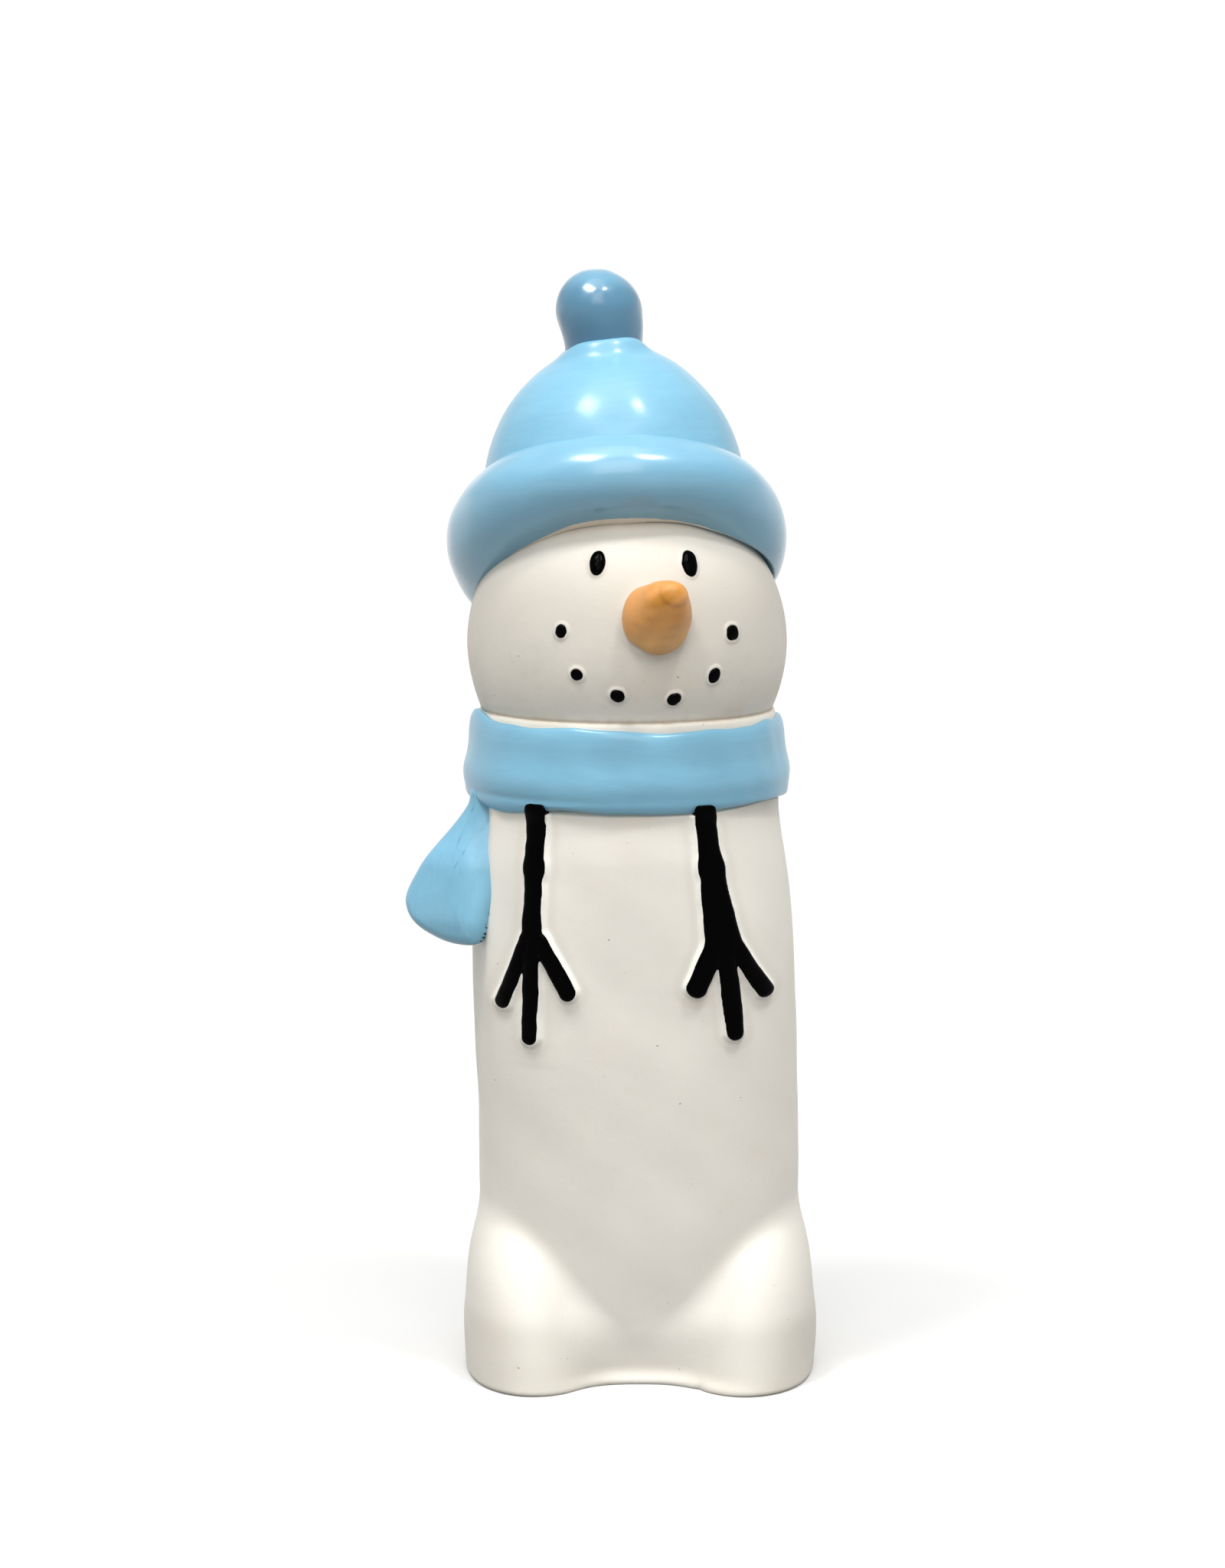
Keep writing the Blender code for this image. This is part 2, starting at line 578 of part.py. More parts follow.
def twig_outline(shoulder, elbow, wrist, tips, grow, lift):
    """Outline of an arm with three fingers, in (x, z), grown by grow all round and by lift on top."""
    hub, bend, top = (Vector(place[:2]) for place in (wrist, elbow, shoulder))
    limbs = [(bend, wrist[2] + grow, elbow[2] + grow)]
    limbs += [(Vector((x, z)), half * 0.95 + grow, half + grow) for x, z, half in tips]
    corners = []
    for n, (end, half_hub, half_end) in enumerate(limbs):
        next_end, next_hub, next_half = limbs[(n + 1) % len(limbs)]
        corners.append(meeting(*limb_side(hub, end, half_hub, half_end, 1),
                               *limb_side(hub, next_end, next_hub, next_half, -1)))
    points = []
    for n, (end, half_hub, half_end) in enumerate(limbs[1:], 1):
        ahead = (end - hub).normalized()
        left = Vector((-ahead.y, ahead.x))
        points.append(corners[n - 1])
        near, far = limb_side(hub, end, half_hub, half_end, -1)
        points += [corners[n - 1].lerp(far, share) for share in (0.4, 0.75)]
        points += [end + (left * math.cos(a) + ahead * math.sin(a)) * half_end
                   for a in (math.radians(d) for d in (180, 145, 110, 70, 35, 0))]
        near, far = limb_side(hub, end, half_hub, half_end, 1)
        points += [far.lerp(corners[n], share) for share in (0.25, 0.6)]
    points.append(corners[-1])
    raised = Vector((0, lift))
    for near, half_near, far, half_far, shares in (
            (hub, wrist[2], bend, elbow[2], (0.35, 0.68, 1.0)), (bend, elbow[2], top, shoulder[2], (0.5, 1.0))):
        for share in shares:
            half = half_near + (half_far - half_near) * share + grow
            points.append(near.lerp(far, share) + Vector((half, 0)) + raised * (far is top and share == 1))
    for near, half_near, far, half_far, shares in (
            (top, shoulder[2], bend, elbow[2], (0.0, 0.5)), (bend, elbow[2], hub, wrist[2], (0.0, 0.32, 0.65))):
        for share in shares:
            half = half_near + (half_far - half_near) * share + grow
            points.append(near.lerp(far, share) + Vector((-half, 0)) + raised * (near is top and share == 0))
    return points


def twig_rings(arm, layers):
    return [[front_of_body(p.x, p.y, out) for p in twig_outline(*arm, grow, lift)]
            for out, grow, lift in layers]


def twig_arm(name, arm, parent):
    """One relief twig; returns the shape of its groove."""
    layers = ((-ARM_SINK, 0.0, 0.0), (ARM_WALL, 0.0, 0.0), (ARM_RISE, -ARM_ROUND, -ARM_ROUND))
    loft(name, twig_rings(arm, layers),
         BLACK, parent)
    return twig_rings(arm, ((-GROOVE_SINK, GAP, GROOVE_LIFT), (ARM_RISE + 2, GAP, GROOVE_LIFT)))


# ---------------------------------------------------------------- assembly

def build():
    for old in list(bpy.data.objects):
        bpy.data.objects.remove(old, do_unlink=True)
    figure = bpy.data.objects.new("snowman", None)
    bpy.context.scene.collection.objects.link(figure)
    figure.location = (STAND_X * MM, STAND_Y * MM, 0)

    body = body_shell(figure)
    head = head_shell(figure)
    hat_crown(figure)
    hat_cuff(figure)
    hat_pompom(figure)
    scarf_band(figure)
    scarf_tail(figure)

    sockets = face_beads(figure)
    sockets.append(carrot_nose(figure))
    cut(head, cutter("face_sockets", sockets, figure))

    grooves = [twig_arm("arm_left", ARM_LEFT, figure), twig_arm("arm_right", ARM_RIGHT, figure)]
    cut(body, cutter("arm_grooves", grooves, figure))


build()
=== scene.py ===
"""Looks of the cast snowman figure: fine surfaces and hand-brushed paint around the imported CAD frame.

Shapes are laid out in millimetres about the middle of the foot, as the CAD is, facing -Y with +X on the
viewer's right. FIGURE, read from the frame, is where that middle lies, and each mesh is made in metres.
"""

import math

import bpy
import numpy as np
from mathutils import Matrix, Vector


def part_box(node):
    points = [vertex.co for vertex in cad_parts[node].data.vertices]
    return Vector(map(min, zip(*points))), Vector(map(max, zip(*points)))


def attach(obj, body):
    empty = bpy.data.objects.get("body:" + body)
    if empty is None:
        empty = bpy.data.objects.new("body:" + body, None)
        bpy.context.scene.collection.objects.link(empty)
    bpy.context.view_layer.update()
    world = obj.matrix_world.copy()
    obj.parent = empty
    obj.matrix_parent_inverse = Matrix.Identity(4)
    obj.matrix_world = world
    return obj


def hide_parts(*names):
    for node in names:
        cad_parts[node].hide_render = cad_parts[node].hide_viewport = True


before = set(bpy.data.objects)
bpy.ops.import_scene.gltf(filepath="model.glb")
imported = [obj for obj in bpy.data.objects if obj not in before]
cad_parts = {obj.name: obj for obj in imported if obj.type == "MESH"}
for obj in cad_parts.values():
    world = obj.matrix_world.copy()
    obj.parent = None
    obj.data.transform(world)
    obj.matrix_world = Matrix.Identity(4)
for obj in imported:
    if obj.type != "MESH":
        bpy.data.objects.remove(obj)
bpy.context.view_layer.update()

MM = 0.001
UPPER_X = -4.8  # axis of the head and scarf from the middle of the foot


def frame_box(node):
    """Lowest and highest corner of a CAD node, in millimetres."""
    low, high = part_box(node)
    return np.array(low) / MM, np.array(high) / MM


band_low, band_high = frame_box("scarf_band")
FIGURE = np.array([(band_low[0] + band_high[0]) / 2 - UPPER_X, (band_low[1] + band_high[1]) / 2, 0.0])

# Body: side, front and back reach of the upright trunk, and the sideways lean of its axis, by height
SIDE_REACH = ((0, 57.5), (40, 57.8), (76, 58.3), (122, 58.9), (160, 58.7), (185, 57.6), (208, 55.6))
FRONT_REACH = ((0, 43.0), (20, 46.0), (45, 50.5), (70, 53.2),
               (100, 55.0), (130, 56.2), (190, 57.3), (208, 56.3))
BACK_REACH = ((0, 51.0), (76, 53.0), (130, 54.5), (185, 54.8), (208, 55.0))
LEAN = ((0, 0.0), (76, -0.2), (122, -1.6), (160, -2.8), (208, -4.8))
SQUARENESS = ((0, 2.5), (150, 2.5), (208, 2.05))
SHOULDER_Z = 208.3
SHOULDER_DROP = -2.3  # the scarf's lower edge and the shoulder under it climb on the viewer's right
WALL = 6.0
CAVITY_LEVELS = (200, 150, 110, 92, 84, 77, 70, 63, 56, 49, 42, 35, 28, 20)
CAVITY_FLOOR_INSET = 4.0
VENT_RADIUS = 11.0
FOOT_EDGE = 1.6
SHOULDER_AT, SHOULDER_SPREAD = 60, 22  # degrees: where the shoulder drops, and how widely
HAUNCH_X, HAUNCH_Y, HAUNCH_Z = 39.6, -16.4, 20.0
HAUNCH_WIDE, HAUNCH_DEEP, HAUNCH_HIGH, HAUNCH_LOW = 24.3, 43.0, 52.0, 200.0
HAUNCH_LEAN_X, HAUNCH_LEAN_Y = 0.05, 0.22
HAUNCH_BLEND = ((0, 15.0), (18, 15.0), (34, 6.5), (52, 3.0), (112, 2.5))
HAUNCH_END = 112.0  # above this the haunches have no effect

# Neck and head
NECK_RADIUS, NECK_TOP = 52.0, 238.2
COLLAR_RADIUS, COLLAR_TOP = 54.4, 241.4
HEAD_RADIUS = (frame_box("head_shell")[1][0] - frame_box("head_shell")[0][0]) / 2
HEAD_MIDDLE = np.array([UPPER_X, 0.0, 265.3])
HEAD_WALL = 6.5
# Collar under the head: radius, height above its foot, and how uneven
COLLAR_SECTION = ((NECK_RADIUS + 0.2, 0, 0), (NECK_RADIUS + 0.2, -2.4, 0), (COLLAR_RADIUS - 0.8, -2.4, 0),
                  (COLLAR_RADIUS, -1.4, 0), (COLLAR_RADIUS - 0.1, 1.3, 0.15), (COLLAR_RADIUS - 0.5, 2.1, 0.2),
                  (COLLAR_RADIUS - 1.1, 2.7, 0.15))
# Collar rows' values in the dirt-and-light attribute: painted shade under the collar and in its crease with
# the head, lightest on its face
COLLAR_PAINTED_SHADE = (0.6, 0.6, 0.6, 0.4, 0.1, 0.05, 0.15, 0.6)

# Hat
CROWN_X, CROWN_Y, CROWN_Z = -9.6, 8.0, 318.0
CROWN_RADIUS, CROWN_RISE = 47.8, 54.6
CROWN_TAPER, CROWN_TUCK = 0.95, 7.5  # the skirt draws in under the cuff
BOBBLE_X, BOBBLE_Y, BOBBLE_Z, BOBBLE_RADIUS = -13.7, 10.5, 384.4, 15.8
CUFF_LOWER = ((0, 310.9), (30, 309.3), (52, 303.8), (70, 297.0), (90, 288.2), (120, 276.0), (180, 269.0))
CUFF_UPPER_Z, CUFF_UPPER_TILT, CUFF_UPPER_SLANT, CUFF_LOWER_SLANT = 326.4, 20.3, 0.04, 0.085
CUFF_BULGE = ((0, 13.5), (50, 12.8), (90, 10.4), (180, 12.0))
CUFF_BULGE_SLANT = -1.3
CUFF_GAP, CUFF_SINK = 0.12, 0.25  # clear of the crown, and its lower edge let into the head

# Scarf
BAND_PROFILE = ((53.0, 208.6), (55.6, 208.7), (57.7, 209.5), (58.9, 211.4), (59.3, 214.5), (59.4, 218.0),
                (59.1, 222.0), (58.4, 226.5), (57.7, 230.5), (57.2, 234.0), (56.6, 236.6), (55.9, 238.0),
                (55.2, 238.7), (54.5, 238.6), (53.6, 237.9))
# Waves of the scarf's upper edge and of its hem: (height, middle and width in degrees)
BAND_CLIMB = ((2.9, -78, 15), (0.8, 66, 6), (1.1, -24, 12), (-1.6, 11, 11))
BAND_HEM = ((1.2, -50, 13), (-1.3, -24, 10))
TAIL_TURN = -30.0
TAIL_THICK = 12.0
TAIL_TILT = 0.26  # forward shift of its foot for each unit of height
TAIL_AT = (-57.0, -27.0)
TAIL_OUTLINE = ((8.2, 215.0), (8.0, 203.0), (7.6, 190.0), (6.2, 179.0), (3.3, 171.0), (0.6, 162.6),
    (-3.0, 159.4), (-11.5, 159.2), (-20.0, 161.4), (-26.5, 165.2), (-30.2, 170.6), (-30.2, 176.5),
    (-24.6, 186.0), (-15.8, 198.0), (-9.6, 208.0), (-6.5, 215.0))

# Nose: the direction of its middle from the head's, its tip, and its radius along its length
NOSE_SIDE, NOSE_UP = math.radians(10.1), math.radians(12.5)
NOSE_TIP = np.array([12.4, -75.0, 291.0])
NOSE_TIP_RADIUS = 5.8
NOSE_TAPER = math.radians(28)  # slope of its sides where the round tip starts
NOSE_FULLNESS = ((0.0, 12.1), (0.15, 12.1), (0.3, 11.4), (0.5, 10.0), (0.7, 8.4), (0.85, 6.8), (1.0, 5.1))

# Arms: (x, z, half width) of the shoulder, elbow, wrist and three fingertips
ARMS = {
    "arm_left": ((-35.8, 207.9, 3.1), (-37.1, 189.3, 2.7), (-38.1, 163.5, 3.0),
                 ((-48.0, 140.4, 2.2), (-38.7, 128.2, 2.5), (-25.7, 145.2, 2.7))),
    "arm_right": ((20.9, 207.9, 3.0), (24.1, 190.1, 3.7), (28.4, 164.0, 5.9),
                  ((19.9, 147.4, 3.4), (33.1, 130.6, 2.8), (43.6, 144.6, 2.6))),
}
ARM_TOP = 212.2  # the arms lap over the scarf's lower edge
ARM_HEIGHT, ARM_BED = 2.7, 1.35
ARM_CELL = 0.42

# Beads: half width, half height, roll in degrees, squareness, and a pull (direction in degrees, share)
BEADS = {
    "eye_left": (2.85, 4.7, 3, 2.2, 260, 0.06),
    "eye_right": (2.9, 5.0, -14, 2.3, -82, 0.14),
    "mouth_pebble_1": (2.15, 2.4, 0, 2.1, 90, 0.03),
    "mouth_pebble_2": (2.15, 2.1, -25, 2.0, -20, 0.16),
    "mouth_pebble_3": (2.5, 2.25, -20, 2.1, 150, 0.10),
    "mouth_pebble_4": (2.6, 2.2, 25, 2.1, 30, 0.06),
    "mouth_pebble_5": (2.4, 2.8, -22, 2.1, 60, 0.08),
    "mouth_pebble_6": (2.75, 2.7, -5, 2.4, 240, 0.14),
}
BEAD_RISE, BEAD_SINK = 1.5, 1.4
RIM_HEIGHT, RIM_WIDTH = 0.45, 0.6


# ---- curves and noise

def along(knots, at):
    """Values at places on a smooth curve through (place, value) knots."""
    places, values = np.array(knots, float).T
    slopes = np.zeros_like(values)
    slopes[1:-1] = (values[2:] - values[:-2]) / (places[2:] - places[:-2])
    at = np.clip(at, places[0], places[-1])
    i = np.clip(np.searchsorted(places, at, side="right") - 1, 0, len(places) - 2)
    span = places[i + 1] - places[i]
    t = (at - places[i]) / span
    return (values[i] * (1 + 2 * t) * (1 - t) ** 2 + slopes[i] * span * t * (1 - t) ** 2
            + values[i + 1] * t * t * (3 - 2 * t) - slopes[i + 1] * span * t * t * (1 - t))


def soft_max(a, b, blend):
    near = np.maximum(blend - np.abs(a - b), 0) / blend
    return np.maximum(a, b) + near * near * blend / 4


def soft_min(a, b, blend):
    return -soft_max(-a, -b, blend)


def step(low, high, at):
    """0 below low, 1 above high, and smooth between."""
    t = np.clip((at - low) / (high - low), 0, 1)
    return t * t * (3 - 2 * t)


def hump(middle, width, at):
    return np.exp(-((at - middle) / width) ** 2)


def ripple(points, size, seed, waves=7):
    """Smooth noise of about -1 to 1, with bumps about size millimetres across."""
    rng = np.random.default_rng(seed)
    total = 0
    for _ in range(waves):
        direction = rng.normal(size=3)
        direction *= math.pi * rng.uniform(0.7, 1.4) / (size * np.linalg.norm(direction))
        total = total + np.sin(points @ direction + rng.uniform(0, 2 * math.pi))
    return total / math.sqrt(waves)


def humps(table, at):
    """Sum of the humps in a table of (height, middle, width)."""
    return sum(height * hump(middle, width, at) for height, middle, width in table)


def lumps(points, *layers):
    """Unevenness of a hand-shaped surface, from layers of (height, size, seed)."""
    return sum(height * ripple(points, size, seed) for height, size, seed in layers)


def toward(turn):
    """Unit directions in plan: 0 looks to the front (-Y), positive turns to +X."""
    return np.stack([np.sin(turn), -np.cos(turn)], -1)


def off_front(turn):
    """Degrees from the front, from -180 to 180."""
    return np.degrees(np.arctan2(np.sin(turn), np.cos(turn)))


def circle(ring, radius, height, x=0.0, y=0.0):
    """Level circle about (x, y), from unit directions in plan."""
    height = np.broadcast_to(height, len(ring))
    return np.column_stack([x + ring[:, 0] * radius, y + ring[:, 1] * radius, height])


def lengths(path):
    """Distance run along a path at each of its points."""
    return np.concatenate([[0], np.cumsum(np.linalg.norm(np.diff(path, axis=0), axis=1))])


def level_across(direction):
    """Level unit direction square to another: to +X for one that looks to the front."""
    across = np.cross([0, 0, 1], direction)
    return across / np.linalg.norm(across)


def all_round(count):
    return np.linspace(-math.pi, math.pi, count, endpoint=False)


def front_weighted_turns(front, middle, half_width, back):
    """Angles all the way round, spaced closely over the front and widely behind."""
    low, high = math.radians(middle - half_width), math.radians(middle + half_width)
    dense = np.linspace(low, high, front)
    sparse = np.linspace(high, low + 2 * math.pi, back + 2)[1:-1]
    return np.concatenate([dense, sparse])


# ---- meshes

def grid_normals(rings):
    """Outward direction at each point of rings that run bottom to top, each going from the front to +X."""
    across = np.roll(rings, -1, axis=1) - np.roll(rings, 1, axis=1)
    normals = np.cross(across, np.gradient(rings, axis=0))
    return normals / np.maximum(np.linalg.norm(normals, axis=-1, keepdims=True), 1e-9)


def add_mesh(name, points, faces, finish, attributes=()):
    """Makes a smooth mesh from points in millimetres, with the per-point values that its look reads."""
    mesh = bpy.data.meshes.new(name)
    mesh.from_pydata((points + FIGURE) * MM, [], faces)
    for label, values in attributes:
        values = np.asarray(values, np.float32)
        kind, field = ("FLOAT", "value") if values.ndim == 1 else ("FLOAT_VECTOR", "vector")
        mesh.attributes.new(label, kind, "POINT").data.foreach_set(field, values.ravel())
    mesh.validate()
    mesh.shade_smooth()
    mesh.materials.append(finish)
    piece = bpy.data.objects.new(name, mesh)
    bpy.context.scene.collection.objects.link(piece)
    return piece


def loft(name, rings, finish, attributes=(), ring_shaped=False):
    """Skins rings of points; the ends are closed by fans, or joined to each other when ring_shaped."""
    rows, columns = rings.shape[:2]
    points = rings.reshape(-1, 3)
    index = np.arange(rows * columns).reshape(rows, columns)
    lower = index if ring_shaped else index[:-1]
    upper = np.roll(index, -1, axis=0) if ring_shaped else index[1:]
    quads = np.stack([lower, np.roll(lower, -1, axis=1), np.roll(upper, -1, axis=1), upper], -1)
    faces = quads.reshape(-1, 4).tolist()
    attributes = [(label, values.reshape(rows * columns, *values.shape[2:])) for label, values in attributes]
    if not ring_shaped:
        for ring, flip in ((index[0], True), (index[-1], False)):
            hub = len(points)
            points = np.vstack([points, points[ring].mean(0)])
            attributes = [(label, np.concatenate([v, v[ring].mean(0, keepdims=True)]))
                          for label, v in attributes]
            for a, b in zip(ring.tolist(), np.roll(ring, -1).tolist()):
                faces.append((b, a, hub) if flip else (a, b, hub))
    return add_mesh(name, points, faces, finish, attributes)


def stand_for(piece, node):
    """The piece rides on the figure and is shown in place of its CAD node."""
    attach(piece, "root")
    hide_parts(node)
    return piece


def stroke(rings, spacing_along=0.12):
    """Coordinates for brush marks that run round the piece: slow along a ring and fast across rings."""
    steps = np.linalg.norm(np.diff(rings, axis=0), axis=-1)
    across = np.concatenate([np.zeros((1, rings.shape[1])), np.cumsum(steps, axis=0)])
    return np.stack([rings[..., 0] * spacing_along, rings[..., 1] * spacing_along, across], -1)


# ---- materials

class Look:
    """A material's node tree, built from short calls whose results are sockets."""

    def __init__(self, name):
        self.material = bpy.data.materials.new(name)
        self.material.use_nodes = True
        self.tree = self.material.node_tree
        self.shader = self.tree.nodes["Principled BSDF"]

    def add(self, kind, result, inputs, **settings):
        made = self.tree.nodes.new("ShaderNode" + kind)
        for key, value in settings.items():
            setattr(made, key, value)
        for key, value in inputs.items():
            self.put(made.inputs[key], value)
        return made.outputs[result]

    def put(self, socket, value):
        if isinstance(value, bpy.types.NodeSocket):
            self.tree.links.new(value, socket)
        else:
            socket.default_value = value

    def place(self):
        """Object coordinates in millimetres."""
        coordinates = self.add("TexCoord", "Object", {})
        return self.add("VectorMath", "Vector", {0: coordinates, "Scale": 1 / MM}, operation="SCALE")

    def attribute(self, name, result="Fac"):
        return self.add("Attribute", result, {}, attribute_name=name)

    def noise(self, vector, size, detail=3.0, roughness=0.55):
        """Noise of 0 to 1 with features about size millimetres across."""
        return self.add("TexNoise", "Fac", {"Vector": vector, "Scale": 1 / size, "Detail": detail,
                                            "Roughness": roughness})

    def spots(self, vector, spacing, radius, share, seed):
        """1 in small round spots: one in each cell of spacing, in only a share of the cells."""
        shift = (seed, seed * 2, seed * 3)
        shifted = self.add("VectorMath", "Vector", {0: vector, 1: shift}, operation="ADD")
        cells = self.tree.nodes.new("ShaderNodeTexVoronoi")
        self.put(cells.inputs["Vector"], shifted)
        cells.inputs["Scale"].default_value = 1 / spacing
        reach = radius / spacing
        near = self.fit(cells.outputs["Distance"], reach, reach * 0.55, 0, 1)
        pick = self.add("SeparateColor", "Red", {"Color": cells.outputs["Color"]})
        chosen = self.math("LESS_THAN", pick, share)
        return self.math("MULTIPLY", near, chosen)

    def fit(self, value, low, high, to_low, to_high):
        """Value moved smoothly from the range low..high to another, and held at its ends."""
        inputs = {"Value": value, "From Min": low, "From Max": high, "To Min": to_low, "To Max": to_high}
        return self.add("MapRange", "Result", inputs, interpolation_type="SMOOTHSTEP")

    def math(self, operation, a, b=0.0, c=0.0):
        return self.add("Math", "Value", {0: a, 1: b, 2: c}, operation=operation)

    def mix(self, share, a, b):
        made = self.tree.nodes.new("ShaderNodeMix")
        made.data_type = "RGBA"
        colours = [s for s in made.inputs if s.type == "RGBA"]
        self.put(made.inputs[0], share)
        for socket, value in zip(colours, (a, b)):
            self.put(socket, value if isinstance(value, bpy.types.NodeSocket) else (*value, 1))
        return next(s for s in made.outputs if s.type == "RGBA")

    def tint(self, colour, other, value, low, high, most=1.0):
        """Colour mixed toward another as the value goes from low to high, up to a share of most."""
        return self.mix(self.fit(value, low, high, 0, most), colour, other)

    def bump(self, height, depth, under=None):
        """Bump whose height of 0 to 1 stands for a depth in millimetres."""
        inputs = {"Height": height, "Distance": depth * MM, "Strength": 1.0}
        if under is not None:
            inputs["Normal"] = under
        return self.add("Bump", "Normal", inputs)

    def finish(self, colour, roughness, normal, **fixed):
        self.put(self.shader.inputs["Base Color"], colour)
        self.put(self.shader.inputs["Roughness"], roughness)
        self.put(self.shader.inputs["Normal"], normal)
        for key, value in fixed.items():
            self.shader.inputs[key.replace("_", " ")].default_value = value
        return self.material


def bisque_look():
    """Matt off-white cast body: blotches, grain and pinholes; one attribute gives brown dirt and painted
    shade where it is high and a lighter painted highlight where it is below zero, another paints the shade
    under the hat's cuff.
    """
    look = Look("bisque")
    place = look.place()
    dirt_and_painted_light = look.attribute("dirt_and_painted_light")
    blotch = look.noise(place, 34, 4)
    colour = look.tint((0.81, 0.77, 0.685), (0.765, 0.73, 0.65), blotch, 0.35, 0.65)
    warm = look.noise(place, 15, 3)
    colour = look.tint(colour, (0.79, 0.705, 0.60), warm, 0.5, 0.75, 0.6)
    grain = look.noise(place, 0.55, 2, 0.7)
    colour = look.tint(colour, (0.66, 0.635, 0.575), grain, 0.3, 0.7, 0.16)
    patchy = look.math("MULTIPLY_ADD", look.noise(place, 5, 4, 0.65), 0.7, -0.35)
    # Brown where the mask is high: dirt near the foot, and painted shade in creases and under the scarf
    dirt_and_shade = look.fit(look.math("ADD", dirt_and_painted_light, patchy), 0.15, 1.1, 0, 0.72)
    colour = look.mix(dirt_and_shade, colour, (0.44, 0.36, 0.26))
    # Lighter where the mask falls below zero: painted light on the belly, the lip and beside the arms
    colour = look.tint(colour, (0.92, 0.89, 0.82), dirt_and_painted_light, -0.1, -1.0)
    # Painted shade: the head darkened below the hat's cuff, from its own attribute
    colour = look.mix(look.attribute("painted_shade_under_cuff"), colour, (0.60, 0.565, 0.50))
    specks = look.spots(place, 8.0, 0.42, 0.5, 3.0)
    fine_specks = look.spots(place, 3.8, 0.24, 0.36, 11.0)
    marks = look.math("MAXIMUM", specks, look.math("MULTIPLY", fine_specks, 0.7))
    colour = look.mix(look.math("MULTIPLY", marks, 0.55), colour, (0.30, 0.26, 0.21))
    surface = look.bump(look.noise(place, 4.5, 3), 0.10)
    surface = look.bump(grain, 0.035, surface)
    surface = look.bump(look.math("SUBTRACT", 1.0, marks), 0.16, surface)
    roughness = look.fit(look.noise(place, 8, 3), 0.3, 0.7, 0.50, 0.62)
    return look.finish(colour, roughness, surface, Specular_IOR_Level=0.35)


def blue_colour(look, place, brush):
    streak = look.noise(brush, 1.6, 3, 0.6)
    broad = look.noise(brush, 6.0, 2)
    colour = look.tint((0.186, 0.437, 0.597), (0.200, 0.458, 0.624), streak, 0.3, 0.7)
    colour = look.tint(colour, (0.230, 0.505, 0.665), broad, 0.4, 0.75, 0.3)
    blotch = look.noise(place, 16, 3)
    colour = look.tint(colour, (0.168, 0.405, 0.567), blotch, 0.5, 0.75, 0.3)
    # Toward a dark blue where the attribute deep says: painted shade on the cuff's lower roll and the
    # bobble's foot, over the bobble's darker paint, less on its lit top
    return look.mix(look.attribute("deep"), colour, (0.045, 0.165, 0.275)), streak


def blue_look(name="blue_paint", bare=False, gloss=0.45):
    """Hand-brushed satin blue; where bare, it ends in a wavy edge and the cast body shows past it, in a
    darker colour that is painted shade.
    """
    look = Look(name)
    place = look.place()
    brush = look.attribute("brush", "Vector")
    colour, streak = blue_colour(look, place, brush)
    grain = look.noise(place, 0.9, 3, 0.6)
    specks = look.spots(place, 8.0, 0.34, 0.30, 5.0)
    colour = look.mix(look.math("MULTIPLY", specks, 0.5), colour, (0.07, 0.16, 0.24))
    nicks = look.spots(place, 13.0, 0.40, 0.22, 8.0)
    colour = look.mix(look.math("MULTIPLY", nicks, 0.5), colour, (0.55, 0.78, 0.88))
    surface = look.bump(look.noise(place, 6, 2), 0.12)
    surface = look.bump(streak, 0.012, surface)
    surface = look.bump(grain, 0.018, surface)
    surface = look.bump(look.math("SUBTRACT", 1.0, specks), 0.12, surface)
    roughness = look.fit(streak, 0.3, 0.7, 0.36, 0.44)
    if bare:
        wavy = look.math("MULTIPLY_ADD", look.noise(place, 7, 3), 0.8, -0.4)
        painted = look.fit(look.math("ADD", look.attribute("painted"), wavy), -0.06, 0.06, 0, 1)
        # Bare cast body under the cuff, coloured darker than the bisque as painted shade
        shaded_bare_cast = look.mix(look.noise(place, 3, 3), (0.66, 0.60, 0.51), (0.76, 0.71, 0.62))
        colour = look.mix(painted, shaded_bare_cast, colour)
        roughness = look.math("ADD", roughness, look.fit(painted, 0, 1, 0.25, 0))
    coat = {"Coat_Weight": gloss, "Coat_Roughness": 0.19}
    return look.finish(colour, roughness, surface, Specular_IOR_Level=0.3, **coat)


def orange_look():
    """Brushed peach and orange: ochre where the attribute gives painted shade under the tip, and a lighter
    orange where it goes below zero as painted light on the underside.
    """
    look = Look("orange_paint")
    place = look.place()
    painted_shade_and_light = look.attribute("painted_shade_and_light")
    mottle = look.noise(place, 3.2, 4, 0.6)
    colour = look.tint((0.67, 0.295, 0.076), (0.70, 0.325, 0.090), mottle, 0.3, 0.7)
    uneven = look.math("MULTIPLY_ADD", look.noise(place, 2.2, 3), 0.24, -0.12)
    shade_with_mottle = look.math("ADD", painted_shade_and_light, uneven)
    # Ochre as painted shade, with some random unevenness
    colour = look.tint(colour, (0.50, 0.20, 0.010), shade_with_mottle, 0.15, 0.9, 0.9)
    # Lighter orange as painted light where the value falls below zero
    colour = look.tint(colour, (0.94, 0.50, 0.165), painted_shade_and_light, -0.1, -1.0)
    surface = look.bump(look.noise(place, 2.6, 2), 0.08)
    surface = look.bump(look.noise(place, 0.6, 2), 0.015, surface)
    roughness = look.fit(mottle, 0.3, 0.7, 0.38, 0.48)
    return look.finish(colour, roughness, surface, Specular_IOR_Level=0.45)


